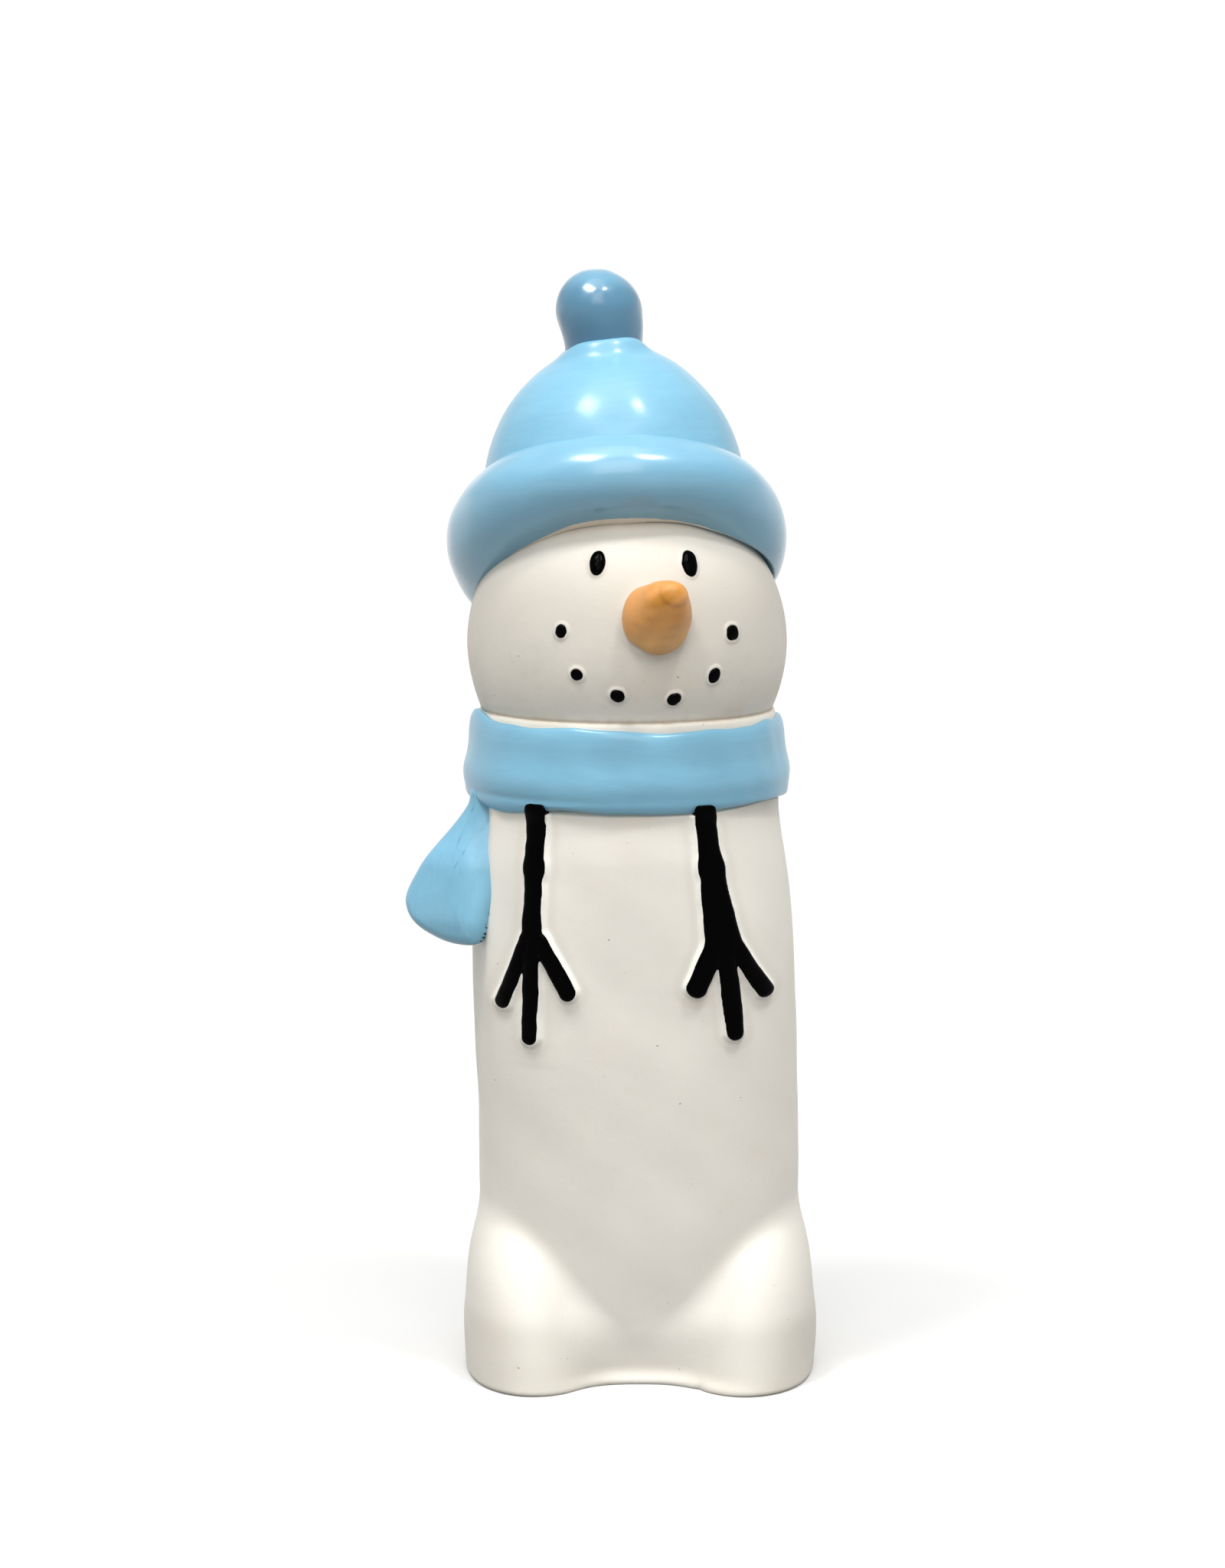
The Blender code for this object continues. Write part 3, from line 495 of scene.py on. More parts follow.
def black_look(name, gloss, smooth, rough):
    """Black enamel with a little brush texture and dust."""
    look = Look(name)
    place = look.place()
    dust = look.spots(place, 3.0, 0.16, 0.25, 2.0)
    colour = look.mix(look.math("MULTIPLY", dust, 0.4), (0.0004, 0.0004, 0.0004), (0.03, 0.03, 0.028))
    surface = look.bump(look.noise(place, 2.0, 3), 0.10)
    surface = look.bump(look.noise(place, 0.5, 2), 0.02, surface)
    roughness = look.fit(look.noise(place, 3, 3), 0.3, 0.7, smooth, rough)
    return look.finish(colour, roughness, surface, Specular_IOR_Level=gloss)


BISQUE = bisque_look()
BLUE = blue_look()
BOBBLE_BLUE = blue_look("blue_paint_of_bobble", gloss=0.95)
CUFF_BLUE = blue_look("blue_paint_with_bare_edge", bare=True, gloss=1.0)
ORANGE = orange_look()
BLACK = black_look("black_paint", 0.02, 0.20, 0.34)
GLOSSY_BLACK = black_look("glossy_black_paint", 0.025, 0.10, 0.18)


# ---- body surface

def trunk_reach(turn, z):
    ux, uy = np.sin(turn), -np.cos(turn)
    deep = np.where(uy < 0, along(FRONT_REACH, z), along(BACK_REACH, z))
    power = along(SQUARENESS, z)
    return (np.abs(ux / along(SIDE_REACH, z)) ** power + np.abs(uy / deep) ** power) ** (-1 / power)


def off_haunch(x, y, z, side):
    """Rough distance outside one haunch, an upright egg that leans outward and back."""
    above = z - HAUNCH_Z
    cx = side * (HAUNCH_X + HAUNCH_LEAN_X * above)
    cy = HAUNCH_Y + HAUNCH_LEAN_Y * above
    high = np.where(above > 0, HAUNCH_HIGH, HAUNCH_LOW)
    size = np.sqrt(((x - cx) / HAUNCH_WIDE) ** 2 + ((y - cy) / HAUNCH_DEEP) ** 2 + (above / high) ** 2)
    return (size - 1) * HAUNCH_WIDE


def body_reach(turn, z):
    """Radius of the body's outside from its leaning axis: trunk and haunches run into one another."""
    turn, z = np.broadcast_arrays(turn, z)
    trunk = trunk_reach(turn, z)
    reach = trunk.copy()
    low = z < HAUNCH_END
    if not low.any():
        return reach
    turn, z, trunk = turn[low], z[low], trunk[low]
    lean, blend = along(LEAN, z), along(HAUNCH_BLEND, z)

    def off_body(radius):
        x, y = lean + np.sin(turn) * radius, -np.cos(turn) * radius
        off = radius - trunk
        for side in (-1, 1):
            off = soft_min(off, off_haunch(x, y, z, side), blend)
        return off

    outside, inside = np.full(trunk.shape, 90.0), np.full(trunk.shape, 30.0)
    found = np.zeros(trunk.shape, bool)
    for radius in np.arange(89.0, 30.0, -1.0):
        hit = ~found & (off_body(radius) < 0)
        inside[hit] = radius
        outside[hit] = radius + 1
        found |= hit
    for _ in range(12):
        middle = (inside + outside) / 2
        out = off_body(middle) > 0
        outside = np.where(out, middle, outside)
        inside = np.where(out, inside, middle)
    reach[low] = middle
    return reach


def body_points(turn, z, out=0.0):
    turn, z = np.broadcast_arrays(turn, z)
    reach = body_reach(turn, z) + out
    return np.stack([along(LEAN, z) + np.sin(turn) * reach, -np.cos(turn) * reach, z], -1)


def front_of_body(x, z):
    """Points and level outward directions of the body's front at rows of x for each height z."""
    turn = np.radians(np.linspace(-89, 89, 700))
    points, outward = np.zeros((*x.shape, 3)), np.zeros((*x.shape, 3))
    for row in range(len(z)):
        edge = body_points(turn, z[row])
        along_edge = np.gradient(edge, axis=0)
        facing = np.stack([along_edge[:, 1], -along_edge[:, 0], np.zeros(len(turn))], -1)
        facing /= np.linalg.norm(facing, axis=-1, keepdims=True)
        for axis in range(3):
            points[row, :, axis] = np.interp(x[row], edge[:, 0], edge[:, axis])
            outward[row, :, axis] = np.interp(x[row], edge[:, 0], facing[:, axis])
    return points, outward


def limb(x, z, start, end):
    """Distance outside a straight limb from one (x, z, half width) to another; negative inside."""
    ax, az, half = start
    bx, bz, end_half = end
    t = np.clip(((x - ax) * (bx - ax) + (z - az) * (bz - az)) / ((bx - ax) ** 2 + (bz - az) ** 2), 0, 1)
    return np.hypot(x - ax - t * (bx - ax), z - az - t * (bz - az)) - half - t * (end_half - half)


def off_twig(x, z, arm):
    """Distance in millimetres outside a twig arm's hand-cut outline; negative inside."""
    shoulder, elbow, wrist, tips = arm
    top = (shoulder[0], ARM_TOP + 4, shoulder[2])
    distance = soft_min(limb(x, z, top, elbow), limb(x, z, elbow, wrist), 3.0)
    for tip in tips:
        finger = (wrist[0] + 0.2 * (tip[0] - wrist[0]), wrist[1], tip[2] * 0.95)
        distance = soft_min(distance, limb(x, z, finger, tip), 1.3)
    flat = np.stack([x, z, np.full_like(x, wrist[0])], -1)
    wobble = 0.14 * ripple(flat, 7.0, 21) + 0.05 * ripple(flat, 2.6, 22)
    return soft_max(distance + wobble, z - ARM_TOP + 0.25 * wobble, 1.6)


def arm_beds(x, z):
    """Distance outside the nearer arm."""
    return np.minimum(*(off_twig(x, z, arm) for arm in ARMS.values()))


def body():
    """Outside with the arms' raised beds, the foot with its vent, and a plain inside."""
    turn = front_weighted_turns(250, 0, 62, 90)
    spans = ((0.4, 8, 14), (9, 122, 96), (122.6, SHOULDER_Z, 146))
    turns_grid, z = np.meshgrid(turn, np.concatenate([np.linspace(*span) for span in spans]))
    rounding = FOOT_EDGE - np.sqrt(np.maximum(FOOT_EDGE ** 2 - np.maximum(FOOT_EDGE - z, 0) ** 2, 0))
    skin = body_points(turns_grid, z, -rounding)
    degrees = off_front(turns_grid)
    skin[..., 2] -= SHOULDER_DROP * hump(SHOULDER_AT, SHOULDER_SPREAD, degrees) * step(150, SHOULDER_Z, z)
    normals = grid_normals(skin)
    x = skin[..., 0]
    facing_front = np.abs(degrees) < 85

    off = np.where(facing_front & (z > 118), arm_beds(x, z), 50.0)
    bed = ARM_BED * (1 - step(0.2, 1.7, off)) + 0.5 * np.exp(-(np.maximum(off, 0) / 5.5) ** 1.5)
    corner = (1.5 * hump(-56.5, 5.0, degrees) - 1.1 * hump(-68, 6, degrees)) * step(105, 165, z)
    dish = -0.7 * hump(-8, 20, degrees) * step(120, 190, z)
    lip = 2.2 * hump(1.0, 2.8, z) * step(34, 12, np.abs(degrees - 3))
    nick = -0.8 * np.exp(-((x - 22.0) / 1.3) ** 2 - (z / 2.6) ** 2) * facing_front
    hand = lumps(skin, (0.28, 38, 1), (0.10, 13, 2))
    skin = skin + normals * (bed + corner + dish + lip + nick + hand * step(0, 12, z))[..., None]
    skin[..., 2] = np.maximum(skin[..., 2], 0)

    # Painted light: the front between the feet lightened, a little less so about 30 mm up
    lighter_belly_darker_valley = hump(0, 24, degrees - 2) * (0.16 * hump(30, 20, z) - 0.75 * hump(24, 36, z))
    # Darker towards the bottom and low on the feet's fronts, with a painted highlight along the lip between
    # the feet
    foot = 0.40 * step(14, 0, z) + 0.34 * step(29, 19, z) * step(130, 90, np.abs(degrees))
    foot = foot - 0.75 * hump(0, 2.6, z) * hump(3, 32, degrees)
    # Painted shade just below the scarf's hem
    shade_under_scarf = 0.35 * step(203, 208, z)
    # Darker a little way out from each arm; next to it, a painted highlight along the arms' raised edges
    beside_arm = 0.22 * hump(3.2, 1.6, off)
    painted_highlight_by_arm = -0.6 * hump(1.0, 0.7, off)
    dirt_and_painted_light = lighter_belly_darker_valley + foot + shade_under_scarf + beside_arm + painted_highlight_by_arm - 0.55

    top_z = skin[-1, :, 2].mean()
    ring = toward(turn)
    neck_section = ((NECK_RADIUS, top_z + 1), (NECK_RADIUS, NECK_TOP),
                    (NECK_RADIUS - WALL, NECK_TOP), (NECK_RADIUS - WALL, top_z))
    above = [circle(ring, radius, height, UPPER_X) for radius, height in neck_section]
    inside = [body_points(turn, np.full(len(turn), float(height)), -WALL) for height in CAVITY_LEVELS]
    inside.append(body_points(turn, np.full(len(turn), WALL), -WALL - CAVITY_FLOOR_INSET))
    vent_section = ((VENT_RADIUS, WALL), (VENT_RADIUS, 0.3), (VENT_RADIUS + 0.8, 0.0))
    under = [circle(ring, radius, height) for radius, height in vent_section]
    under += [skin[0] * [share, share, 0.0] for share in (0.7, 0.985)]
    rings = np.concatenate([skin, above, inside, under])
    plain = np.full((len(rings) - len(skin), len(turn)), 0.5)
    dirt_and_painted_light = np.concatenate([dirt_and_painted_light, plain])
    piece = loft("body", rings, BISQUE, [("dirt_and_painted_light", dirt_and_painted_light)], ring_shaped=True)
    return stand_for(piece, "body_shell")


# ---- arms

def twig_arm(name):
    """A low black twig that rises from its bed with a rounded edge; its underside follows the body."""
    arm = ARMS[name]
    places = np.array([arm[0][:2], arm[1][:2], arm[2][:2], *(tip[:2] for tip in arm[3])])
    x_low, z_low = places.min(0) - 6
    x_high = places[:, 0].max() + 6
    xs = np.arange(x_low, x_high, ARM_CELL)
    zs = np.arange(z_low, ARM_TOP + 2.5, ARM_CELL)
    x, z = np.meshgrid(xs, zs)
    margin = 1.0 - 0.95 * step(202.5, 206.5, z)
    for _ in range(3):
        off = off_twig(x, z, arm)
        slope_z, slope_x = np.gradient(off, ARM_CELL)
        steep = np.maximum(np.hypot(slope_x, slope_z), 0.75)
        fix = np.where((off > margin) & (off < margin + 1.4 * ARM_CELL), off - margin, 0) / steep ** 2
        x, z = x - slope_x * fix, z - slope_z * fix
    off = off_twig(x, z, arm)
    keep = off < 1.12 - 0.95 * step(202.5, 206.5, z)
    base, outward = front_of_body(x, z.mean(1))
    base[..., 2] = z
    inset = np.maximum(0.6 - off, 0)
    dome = 1 - np.exp(-inset / 0.45)
    crown = 0.35 * (1 - np.exp(-inset / 2.2))
    flat = np.stack([x, z, np.full_like(x, 3.0)], -1)
    lap = 1.3 * step(204.5, 210.5, z)
    height = ARM_BED - 0.5 + (ARM_HEIGHT - ARM_BED + 0.5) * dome + crown + 0.10 * ripple(flat, 4.0, 31)
    height = height + lap - 3.0 * step(0.55, 0.95, off)
    upper = base + outward * height[..., None]
    lower = base - outward * 1.2
    cells = keep[:-1, :-1] & keep[1:, :-1] & keep[:-1, 1:] & keep[1:, 1:]
    return solid_sheet(name + "_twig", upper, lower, cells, BLACK)


def solid_sheet(name, upper, lower, cells, finish):
    """Closes two matching grids of points into one solid over the chosen cells."""
    rows, columns = upper.shape[:2]
    count = rows * columns
    index = np.arange(count).reshape(rows, columns)
    quads = np.stack([index[:-1, :-1], index[:-1, 1:], index[1:, 1:], index[1:, :-1]], -1)[cells]
    rim = {}
    for corners in quads.tolist():
        for a, b in zip(corners, corners[1:] + corners[:1]):
            if not rim.pop((b, a), False):
                rim[(a, b)] = True
    walls = [(b, a, a + count, b + count) for a, b in rim]
    used, faces = np.unique(np.concatenate([quads, quads[:, ::-1] + count, walls]), return_inverse=True)
    points = np.concatenate([upper.reshape(-1, 3), lower.reshape(-1, 3)])
    return add_mesh(name, points[used], faces.reshape(-1, 4).tolist(), finish)


# ---- head and face

def on_head(normal):
    """Point on the head's surface, and the outward, sideways and upward directions there."""
    across = level_across(normal)
    return HEAD_MIDDLE + normal * HEAD_RADIUS, normal, across, np.cross(normal, across)


def bead_frame(node):
    """Frame on the head at a bead."""
    low, high = frame_box(node)
    away = (low + high) / 2 - FIGURE - HEAD_MIDDLE
    return on_head(away / np.linalg.norm(away))


def bead_reach(name, angle):
    """Distance from a bead's middle to its outline, in the head's tangent plane."""
    wide, tall, roll, power, pull_at, pull = BEADS[name]
    turned = angle - math.radians(roll)
    reach = (np.abs(np.cos(turned) / wide) ** power + np.abs(np.sin(turned) / tall) ** power) ** (-1 / power)
    seed = sum(map(ord, name))
    rng = np.random.default_rng(seed)
    wobble = sum(rng.uniform(-0.022, 0.022) * np.cos(n * angle + rng.uniform(0, 6)) for n in (3, 4, 5, 7))
    toward_pull = np.maximum(np.cos(angle - math.radians(pull_at)), 0) ** 3
    return reach * (1 + pull * toward_pull + wobble)


def off_bead(name, points):
    """Distance outside a bead's outline for points near the head."""
    middle, normal, across, upward = bead_frame(name)
    away = points - middle
    u, v = away @ across, away @ upward
    distance = np.hypot(u, v) - bead_reach(name, np.arctan2(v, u))
    return np.where(away @ normal > -8, distance, 50.0)


def nose_frame():
    """Frame on the head at the middle of the nose."""
    return on_head(np.array([*toward(NOSE_SIDE) * math.cos(NOSE_UP), math.sin(NOSE_UP)]))


def head():
    """Ball on its collar, with a raised rim round each bead and a soft fillet round the nose."""
    turn = front_weighted_turns(230, 7, 50, 80)
    first = math.asin((COLLAR_TOP - HEAD_MIDDLE[2]) / HEAD_RADIUS)
    up = np.concatenate([np.linspace(first, math.radians(52), 150), np.radians(np.arange(55, 73, 3))])
    turns_grid, ups = np.meshgrid(turn, up)
    normals = np.stack([np.sin(turns_grid) * np.cos(ups), -np.cos(turns_grid) * np.cos(ups), np.sin(ups)], -1)
    ball = HEAD_MIDDLE + normals * HEAD_RADIUS
    # Painted shade in the crease where the head meets its collar
    dirt_and_painted_light = 0.22 + 0.9 * hump(COLLAR_TOP, 1.0, ball[..., 2])
    rise = lumps(ball, (0.25, 36, 4), (0.07, 12, 5))
    for name in BEADS:
        off = off_bead(name, ball)
        rise = rise + RIM_HEIGHT * hump(0.25, RIM_WIDTH, off)
        whiteness = 0.4 if name.startswith("eye") else 0.85
        dirt_and_painted_light = dirt_and_painted_light - whiteness * hump(0.35, 0.38, off) + 0.10 * hump(1.5, 0.7, off)
    nose_middle = nose_frame()[0]
    off_nose = np.linalg.norm(ball - nose_middle, axis=-1) - 12.0
    rise = rise + 0.8 * np.exp(-(np.maximum(off_nose, 0) / 1.6) ** 1.4)
    # Painted shade in a ring round the nose's foot
    dirt_and_painted_light = dirt_and_painted_light + 0.25 * hump(1.2, 1.2, off_nose)
    ball = ball + normals * (rise * step(COLLAR_TOP, COLLAR_TOP + 4, ball[..., 2]))[..., None]

    ring = toward(turn)
    around = circle(ring, COLLAR_RADIUS, 0.0)

    def level(radius, height, uneven=0.0):
        shake = uneven * ripple(around, 9, 6)
        return circle(ring, radius + shake, height + shake * 0.6, UPPER_X)

    inner = HEAD_RADIUS - HEAD_WALL
    foot = NECK_TOP + 0.3
    section = ((inner * 0.8, 0, 0), *COLLAR_SECTION)
    collar = [level(radius, foot + lift, uneven) for radius, lift, uneven in section]
    top = up[-1]
    inside = [level(inner * math.cos(climb), HEAD_MIDDLE[2] + inner * math.sin(climb))
              for climb in (top, 0.9, 0.4, 0.0, -0.3)]
    rings = np.concatenate([collar, ball, inside])
    collar_painted_shade = np.repeat(np.array(COLLAR_PAINTED_SHADE)[:, None], len(turn), axis=1)
    dirt_and_painted_light = np.concatenate([collar_painted_shade, dirt_and_painted_light, np.full((len(inside), len(turn)), 0.3)])
    # Painted shade: a darker band round the head below the hat's cuff
    painted_shade_under_cuff = hump(285, 20, rings[..., 2])
    piece = loft("head", rings, BISQUE, [("dirt_and_painted_light", dirt_and_painted_light), ("painted_shade_under_cuff", painted_shade_under_cuff)], ring_shaped=True)
    return stand_for(piece, "head_shell")


def bead(name):
    """A dabbed black bead: an uneven dome with a short root in the head."""
    middle, normal, across, upward = bead_frame(name)
    angle = np.linspace(0, 2 * math.pi, 56, endpoint=False)
    outline = bead_reach(name, angle)
    direction = np.cos(angle)[:, None] * across + np.sin(angle)[:, None] * upward
    rings = []
    profile = [(-BEAD_SINK, 0.72), (-BEAD_SINK * 0.5, 0.93), (0.1, 1.0)]
    profile += [(0.1 + (BEAD_RISE - 0.1) * math.sin(a), math.cos(a) ** 0.72)
                for a in np.radians([12, 24, 36, 47, 57, 66, 74, 80, 85, 88.5])]
    size = min(BEADS[name][:2]) / 2.4
    for out, share in profile:
        lift = out * size if out > 0.1 else out
        rings.append(middle + direction * (outline * share)[:, None] + normal * lift)
    rings = np.array(rings)
    bumps = ripple(rings, 2.6, sum(map(ord, name)) + 1)
    rings = rings + normal * (0.11 * bumps * step(0.0, 0.8, (rings - middle) @ normal))[..., None]
    return stand_for(loft(name + "_bead", rings, GLOSSY_BLACK), name)


def nose():
    """Stubby carrot: a fat uneven base whose ridge bends up and sideways into a blunt tip."""
    base, normal, across, upward = nose_frame()
    angle = np.linspace(0, 2 * math.pi, 96, endpoint=False)
    cap = NOSE_TIP_RADIUS * (1 - math.sin(NOSE_TAPER))
    end = NOSE_TIP - (NOSE_TIP - base) / np.linalg.norm(NOSE_TIP - base) * cap
    control = base * 0.6 + end * 0.4 + normal * 2.5
    shoulder = (1 + 0.09 * hump(math.radians(125), 0.45, angle) - 0.06 * hump(math.radians(237), 0.3, angle)
                - 0.04 * hump(math.radians(336), 0.25, angle))
    rings = []

    def ring_at(centre, radius, heading, share):
        side = level_across(heading)
        rise = np.cross(heading, side)
        shape = 1 + (shoulder - 1) * (1 - share)
        spokes = np.cos(angle)[:, None] * side + np.sin(angle)[:, None] * rise
        return centre + spokes * (radius * shape)[:, None]

    for share in np.linspace(0, 1, 40):
        centre = base * (1 - share) ** 2 + control * 2 * share * (1 - share) + end * share ** 2
        heading = (control - base) * (1 - share) + (end - control) * share
        heading = normal * (1 - share) * 8 + heading
        heading /= np.linalg.norm(heading)
        rings.append(ring_at(centre, float(along(NOSE_FULLNESS, share)), heading, share))
    for up in np.radians([34, 41, 48, 55, 62, 69, 76, 83]):
        forward = NOSE_TIP_RADIUS * (math.sin(up) - math.sin(NOSE_TAPER))
        rings.append(ring_at(end + heading * forward, NOSE_TIP_RADIUS * math.cos(up), heading, 1.0))
    rings = np.array(rings)
    root = ring_at(base - normal * 4, 10.5, normal, 0.0)
    rings = np.concatenate([[root], rings])
    out = grid_normals(rings)
    bumps = lumps(rings, (0.20, 8.0, 41), (0.06, 3.0, 42))
    rings = rings + out * (bumps * step(0, 3, (rings - base) @ normal))[..., None]
    height = (rings - base) @ normal
    u, v = (rings - base) @ across, (rings - base) @ upward - 5.8
    # Painted shade as an ochre streak below the tip, and painted light as a lighter orange over the underside
    painted_shade_and_light = np.exp(-((u * 0.9 + v * 0.44) / 8.0) ** 2 - ((v * 0.9 - u * 0.44) / 3.0) ** 2)
    painted_shade_and_light = painted_shade_and_light * step(4, 8, height) - 0.8 * step(3, -10, v + 5.8)
    return stand_for(loft("nose", rings, ORANGE, [("painted_shade_and_light", painted_shade_and_light)]), "carrot_nose")


# ---- hat

def crown_reach(z):
    rise = np.maximum(z - CROWN_Z, 0) / CROWN_RISE
    tuck = np.clip(CROWN_TAPER * (CROWN_Z - z), 0, CROWN_TUCK)
    return CROWN_RADIUS * np.sqrt(np.maximum(1 - rise * rise, 0)) - tuck


def crown():
    """Bell of the hat, with a fillet up to the bobble's stalk."""
    turn = all_round(240)
    ring = toward(turn)
    up = np.concatenate([np.linspace(0, math.radians(70), 90), np.radians(np.linspace(71, 89, 22))])
    turns_grid, ups = np.meshgrid(turn, up)
    dome = np.stack([CROWN_X + CROWN_RADIUS * np.cos(ups) * np.sin(turns_grid),
                     CROWN_Y - CROWN_RADIUS * np.cos(ups) * np.cos(turns_grid),
                     CROWN_Z + CROWN_RISE * np.sin(ups)], -1)
    out = grid_normals(dome)
    dome = dome + out * lumps(dome, (0.22, 26, 51), (0.08, 9, 52))[..., None]
    away_x, away_y = dome[..., 0] - BOBBLE_X, dome[..., 1] - BOBBLE_Y
    off_stalk = np.hypot(away_x, away_y) - 14.2
    in_front = np.exp(-((np.arctan2(away_x, -away_y) - 0.1) / 1.05) ** 4)
    dome[..., 2] += 1.8 * np.exp(-(np.maximum(off_stalk, 0) / 2.4) ** 1.2) * step(-4, 0, off_stalk)
    dome[..., 2] += 3.7 * in_front * hump(1.9, 2.5, off_stalk)
    skirt = []
    for share, tuck in ((0.0, CROWN_TUCK), (0.6, 1.8)):
        rim = circle(ring, CROWN_RADIUS - tuck, 0.0, CROWN_X, CROWN_Y)
        off_axis = (rim[:, 0] - UPPER_X) ** 2 + rim[:, 1] ** 2
        low = HEAD_MIDDLE[2] + np.sqrt((HEAD_RADIUS + 0.3) ** 2 - off_axis)
        rim[:, 2] = low + (CROWN_Z - low) * share
        skirt.append(rim)
    rings = np.concatenate([skirt, dome])
    return stand_for(loft("crown", rings, BLUE, [("brush", stroke(rings))]), "hat_crown")


def clear_of_head_and_crown(point):
    away = point - HEAD_MIDDLE
    distance = np.linalg.norm(away)
    if distance < HEAD_RADIUS - CUFF_SINK:
        point = HEAD_MIDDLE + away / distance * (HEAD_RADIUS - CUFF_SINK)
    sideways = np.array([point[0] - CROWN_X, point[1] - CROWN_Y])
    reach = crown_reach(point[2]) + CUFF_GAP
    if np.linalg.norm(sideways) < reach:
        sideways = sideways / np.linalg.norm(sideways) * reach
        point = np.array([CROWN_X + sideways[0], CROWN_Y + sideways[1], point[2]])
    return point


def cuff_edges(turn):
    """Where the cuff's section starts on the head and ends on the crown, and how far it bulges."""
    ux, uy = toward(turn)
    round_to = abs(float(off_front(turn)))
    low_z = float(along(CUFF_LOWER, round_to))
    low_reach = math.sqrt((HEAD_RADIUS - CUFF_SINK) ** 2 - (low_z - HEAD_MIDDLE[2]) ** 2)
    low = np.array([UPPER_X + ux * low_reach, uy * low_reach, low_z + CUFF_LOWER_SLANT * ux * low_reach])
    high_z = CUFF_UPPER_Z
    for _ in range(6):
        reach = crown_reach(high_z) + CUFF_GAP
        high_z = CUFF_UPPER_Z + reach * (CUFF_UPPER_SLANT * ux - math.tan(math.radians(CUFF_UPPER_TILT)) * uy)
    high = np.array([CROWN_X + ux * reach, CROWN_Y + uy * reach, high_z])
    return clear_of_head_and_crown(low), high, float(along(CUFF_BULGE, round_to)) + CUFF_BULGE_SLANT * ux


def cuff():
    """Rolled brim with a full section; its underside, next to the head, is left bare."""
    outer_points, inner_points = 56, 6
    turn = all_round(260)
    sections = []
    for t in turn:
        low, high, bulge = cuff_edges(t)
        middle, half = (low + high) / 2, (high - low) / 2
        axis = half / np.linalg.norm(half)
        outward = np.array([*toward(t), 0.0])
        outward = outward - axis * outward.dot(axis)
        outward /= np.linalg.norm(outward)
        section = []
        for angle in np.linspace(-math.pi / 2, math.pi / 2, outer_points + 1):
            out = max(math.cos(angle), 0.0) ** (1.35 + 0.43 * math.sin(t) ** 2 if angle > 0 else 1.35)
            section.append(middle + half * math.sin(angle) + outward * bulge * out)
        for n in range(1, inner_points + 1):
            share = n / (inner_points + 1)
            section.append(clear_of_head_and_crown(high + (low - high) * share - outward * 6))
        sections.append(section)
    rings = np.array(sections).transpose(1, 0, 2)
    outer = rings[:outer_points + 1]
    out = grid_normals(outer)
    fade = np.sin(np.linspace(0, math.pi, outer_points + 1))[:, None]
    rings[:outer_points + 1] = outer + out * (lumps(outer, (0.30, 30, 61), (0.12, 10, 62)) * fade)[..., None]
    along_section = np.arange(len(rings), dtype=float)[:, None]
    edge = 9.5 * hump(-0.12, 0.72, turn)
    painted = np.where(along_section <= outer_points, (along_section - edge) * 0.35, 8.0)
    upward = along_section / outer_points
    # Painted shade: the lower part of the cuff's roll darkened
    deep = 0.06 + 0.28 * step(0.85, 0.1, upward) * np.ones(len(turn))
    attributes = [("brush", stroke(rings)), ("painted", painted), ("deep", deep)]
    piece = loft("cuff", rings, CUFF_BLUE, attributes, ring_shaped=True)
    return stand_for(piece, "hat_cuff")


def pompom():
    """Bobble on a thick stalk: waisted on the viewer's left, straight on the right."""
    ring = toward(all_round(120))
    left = step(0.35, -0.85, ring[:, 0])
    foot_z = CROWN_Z + CROWN_RISE * 0.93
    heights = np.concatenate([[foot_z - 5], np.linspace(foot_z, BOBBLE_Z, 26)])
    rings = []
    for z in heights:
        low = (BOBBLE_Z - z) / (BOBBLE_Z - foot_z)
        waist = 1 - 0.15 * left * step(0.0, 0.85, low) - 0.05 * step(0.2, 0.9, low) * (1 - left)
        flare = 0.03 * max(low - 0.85, 0) / 0.15
        rings.append(circle(ring, BOBBLE_RADIUS * (waist + flare), z))
    for up in np.radians(np.linspace(4, 88, 30)):
        rings.append(circle(ring, BOBBLE_RADIUS * math.cos(up), BOBBLE_Z + BOBBLE_RADIUS * math.sin(up)))
    rings = np.array(rings)
    rings[..., 0] += BOBBLE_X - 0.07 * (rings[..., 2] - foot_z)
    rings[..., 1] += BOBBLE_Y
    out = grid_normals(rings)
    rings = rings + out * lumps(rings, (0.22, 12, 71), (0.07, 4, 72))[..., None]
    height = rings[..., 2]
    # Darker paint over the whole bobble, painted shade toward its foot, and painted light on its top
    deep = 0.80 + 0.20 * step(BOBBLE_Z + 8, foot_z + 4, height)
    deep = deep - 0.4 * step(BOBBLE_Z + 7, BOBBLE_Z + 15, height)
    piece = loft("pompom", rings, BOBBLE_BLUE, [("brush", stroke(rings, 0.25)), ("deep", deep)])
    return stand_for(piece, "hat_pompom")


# ---- scarf

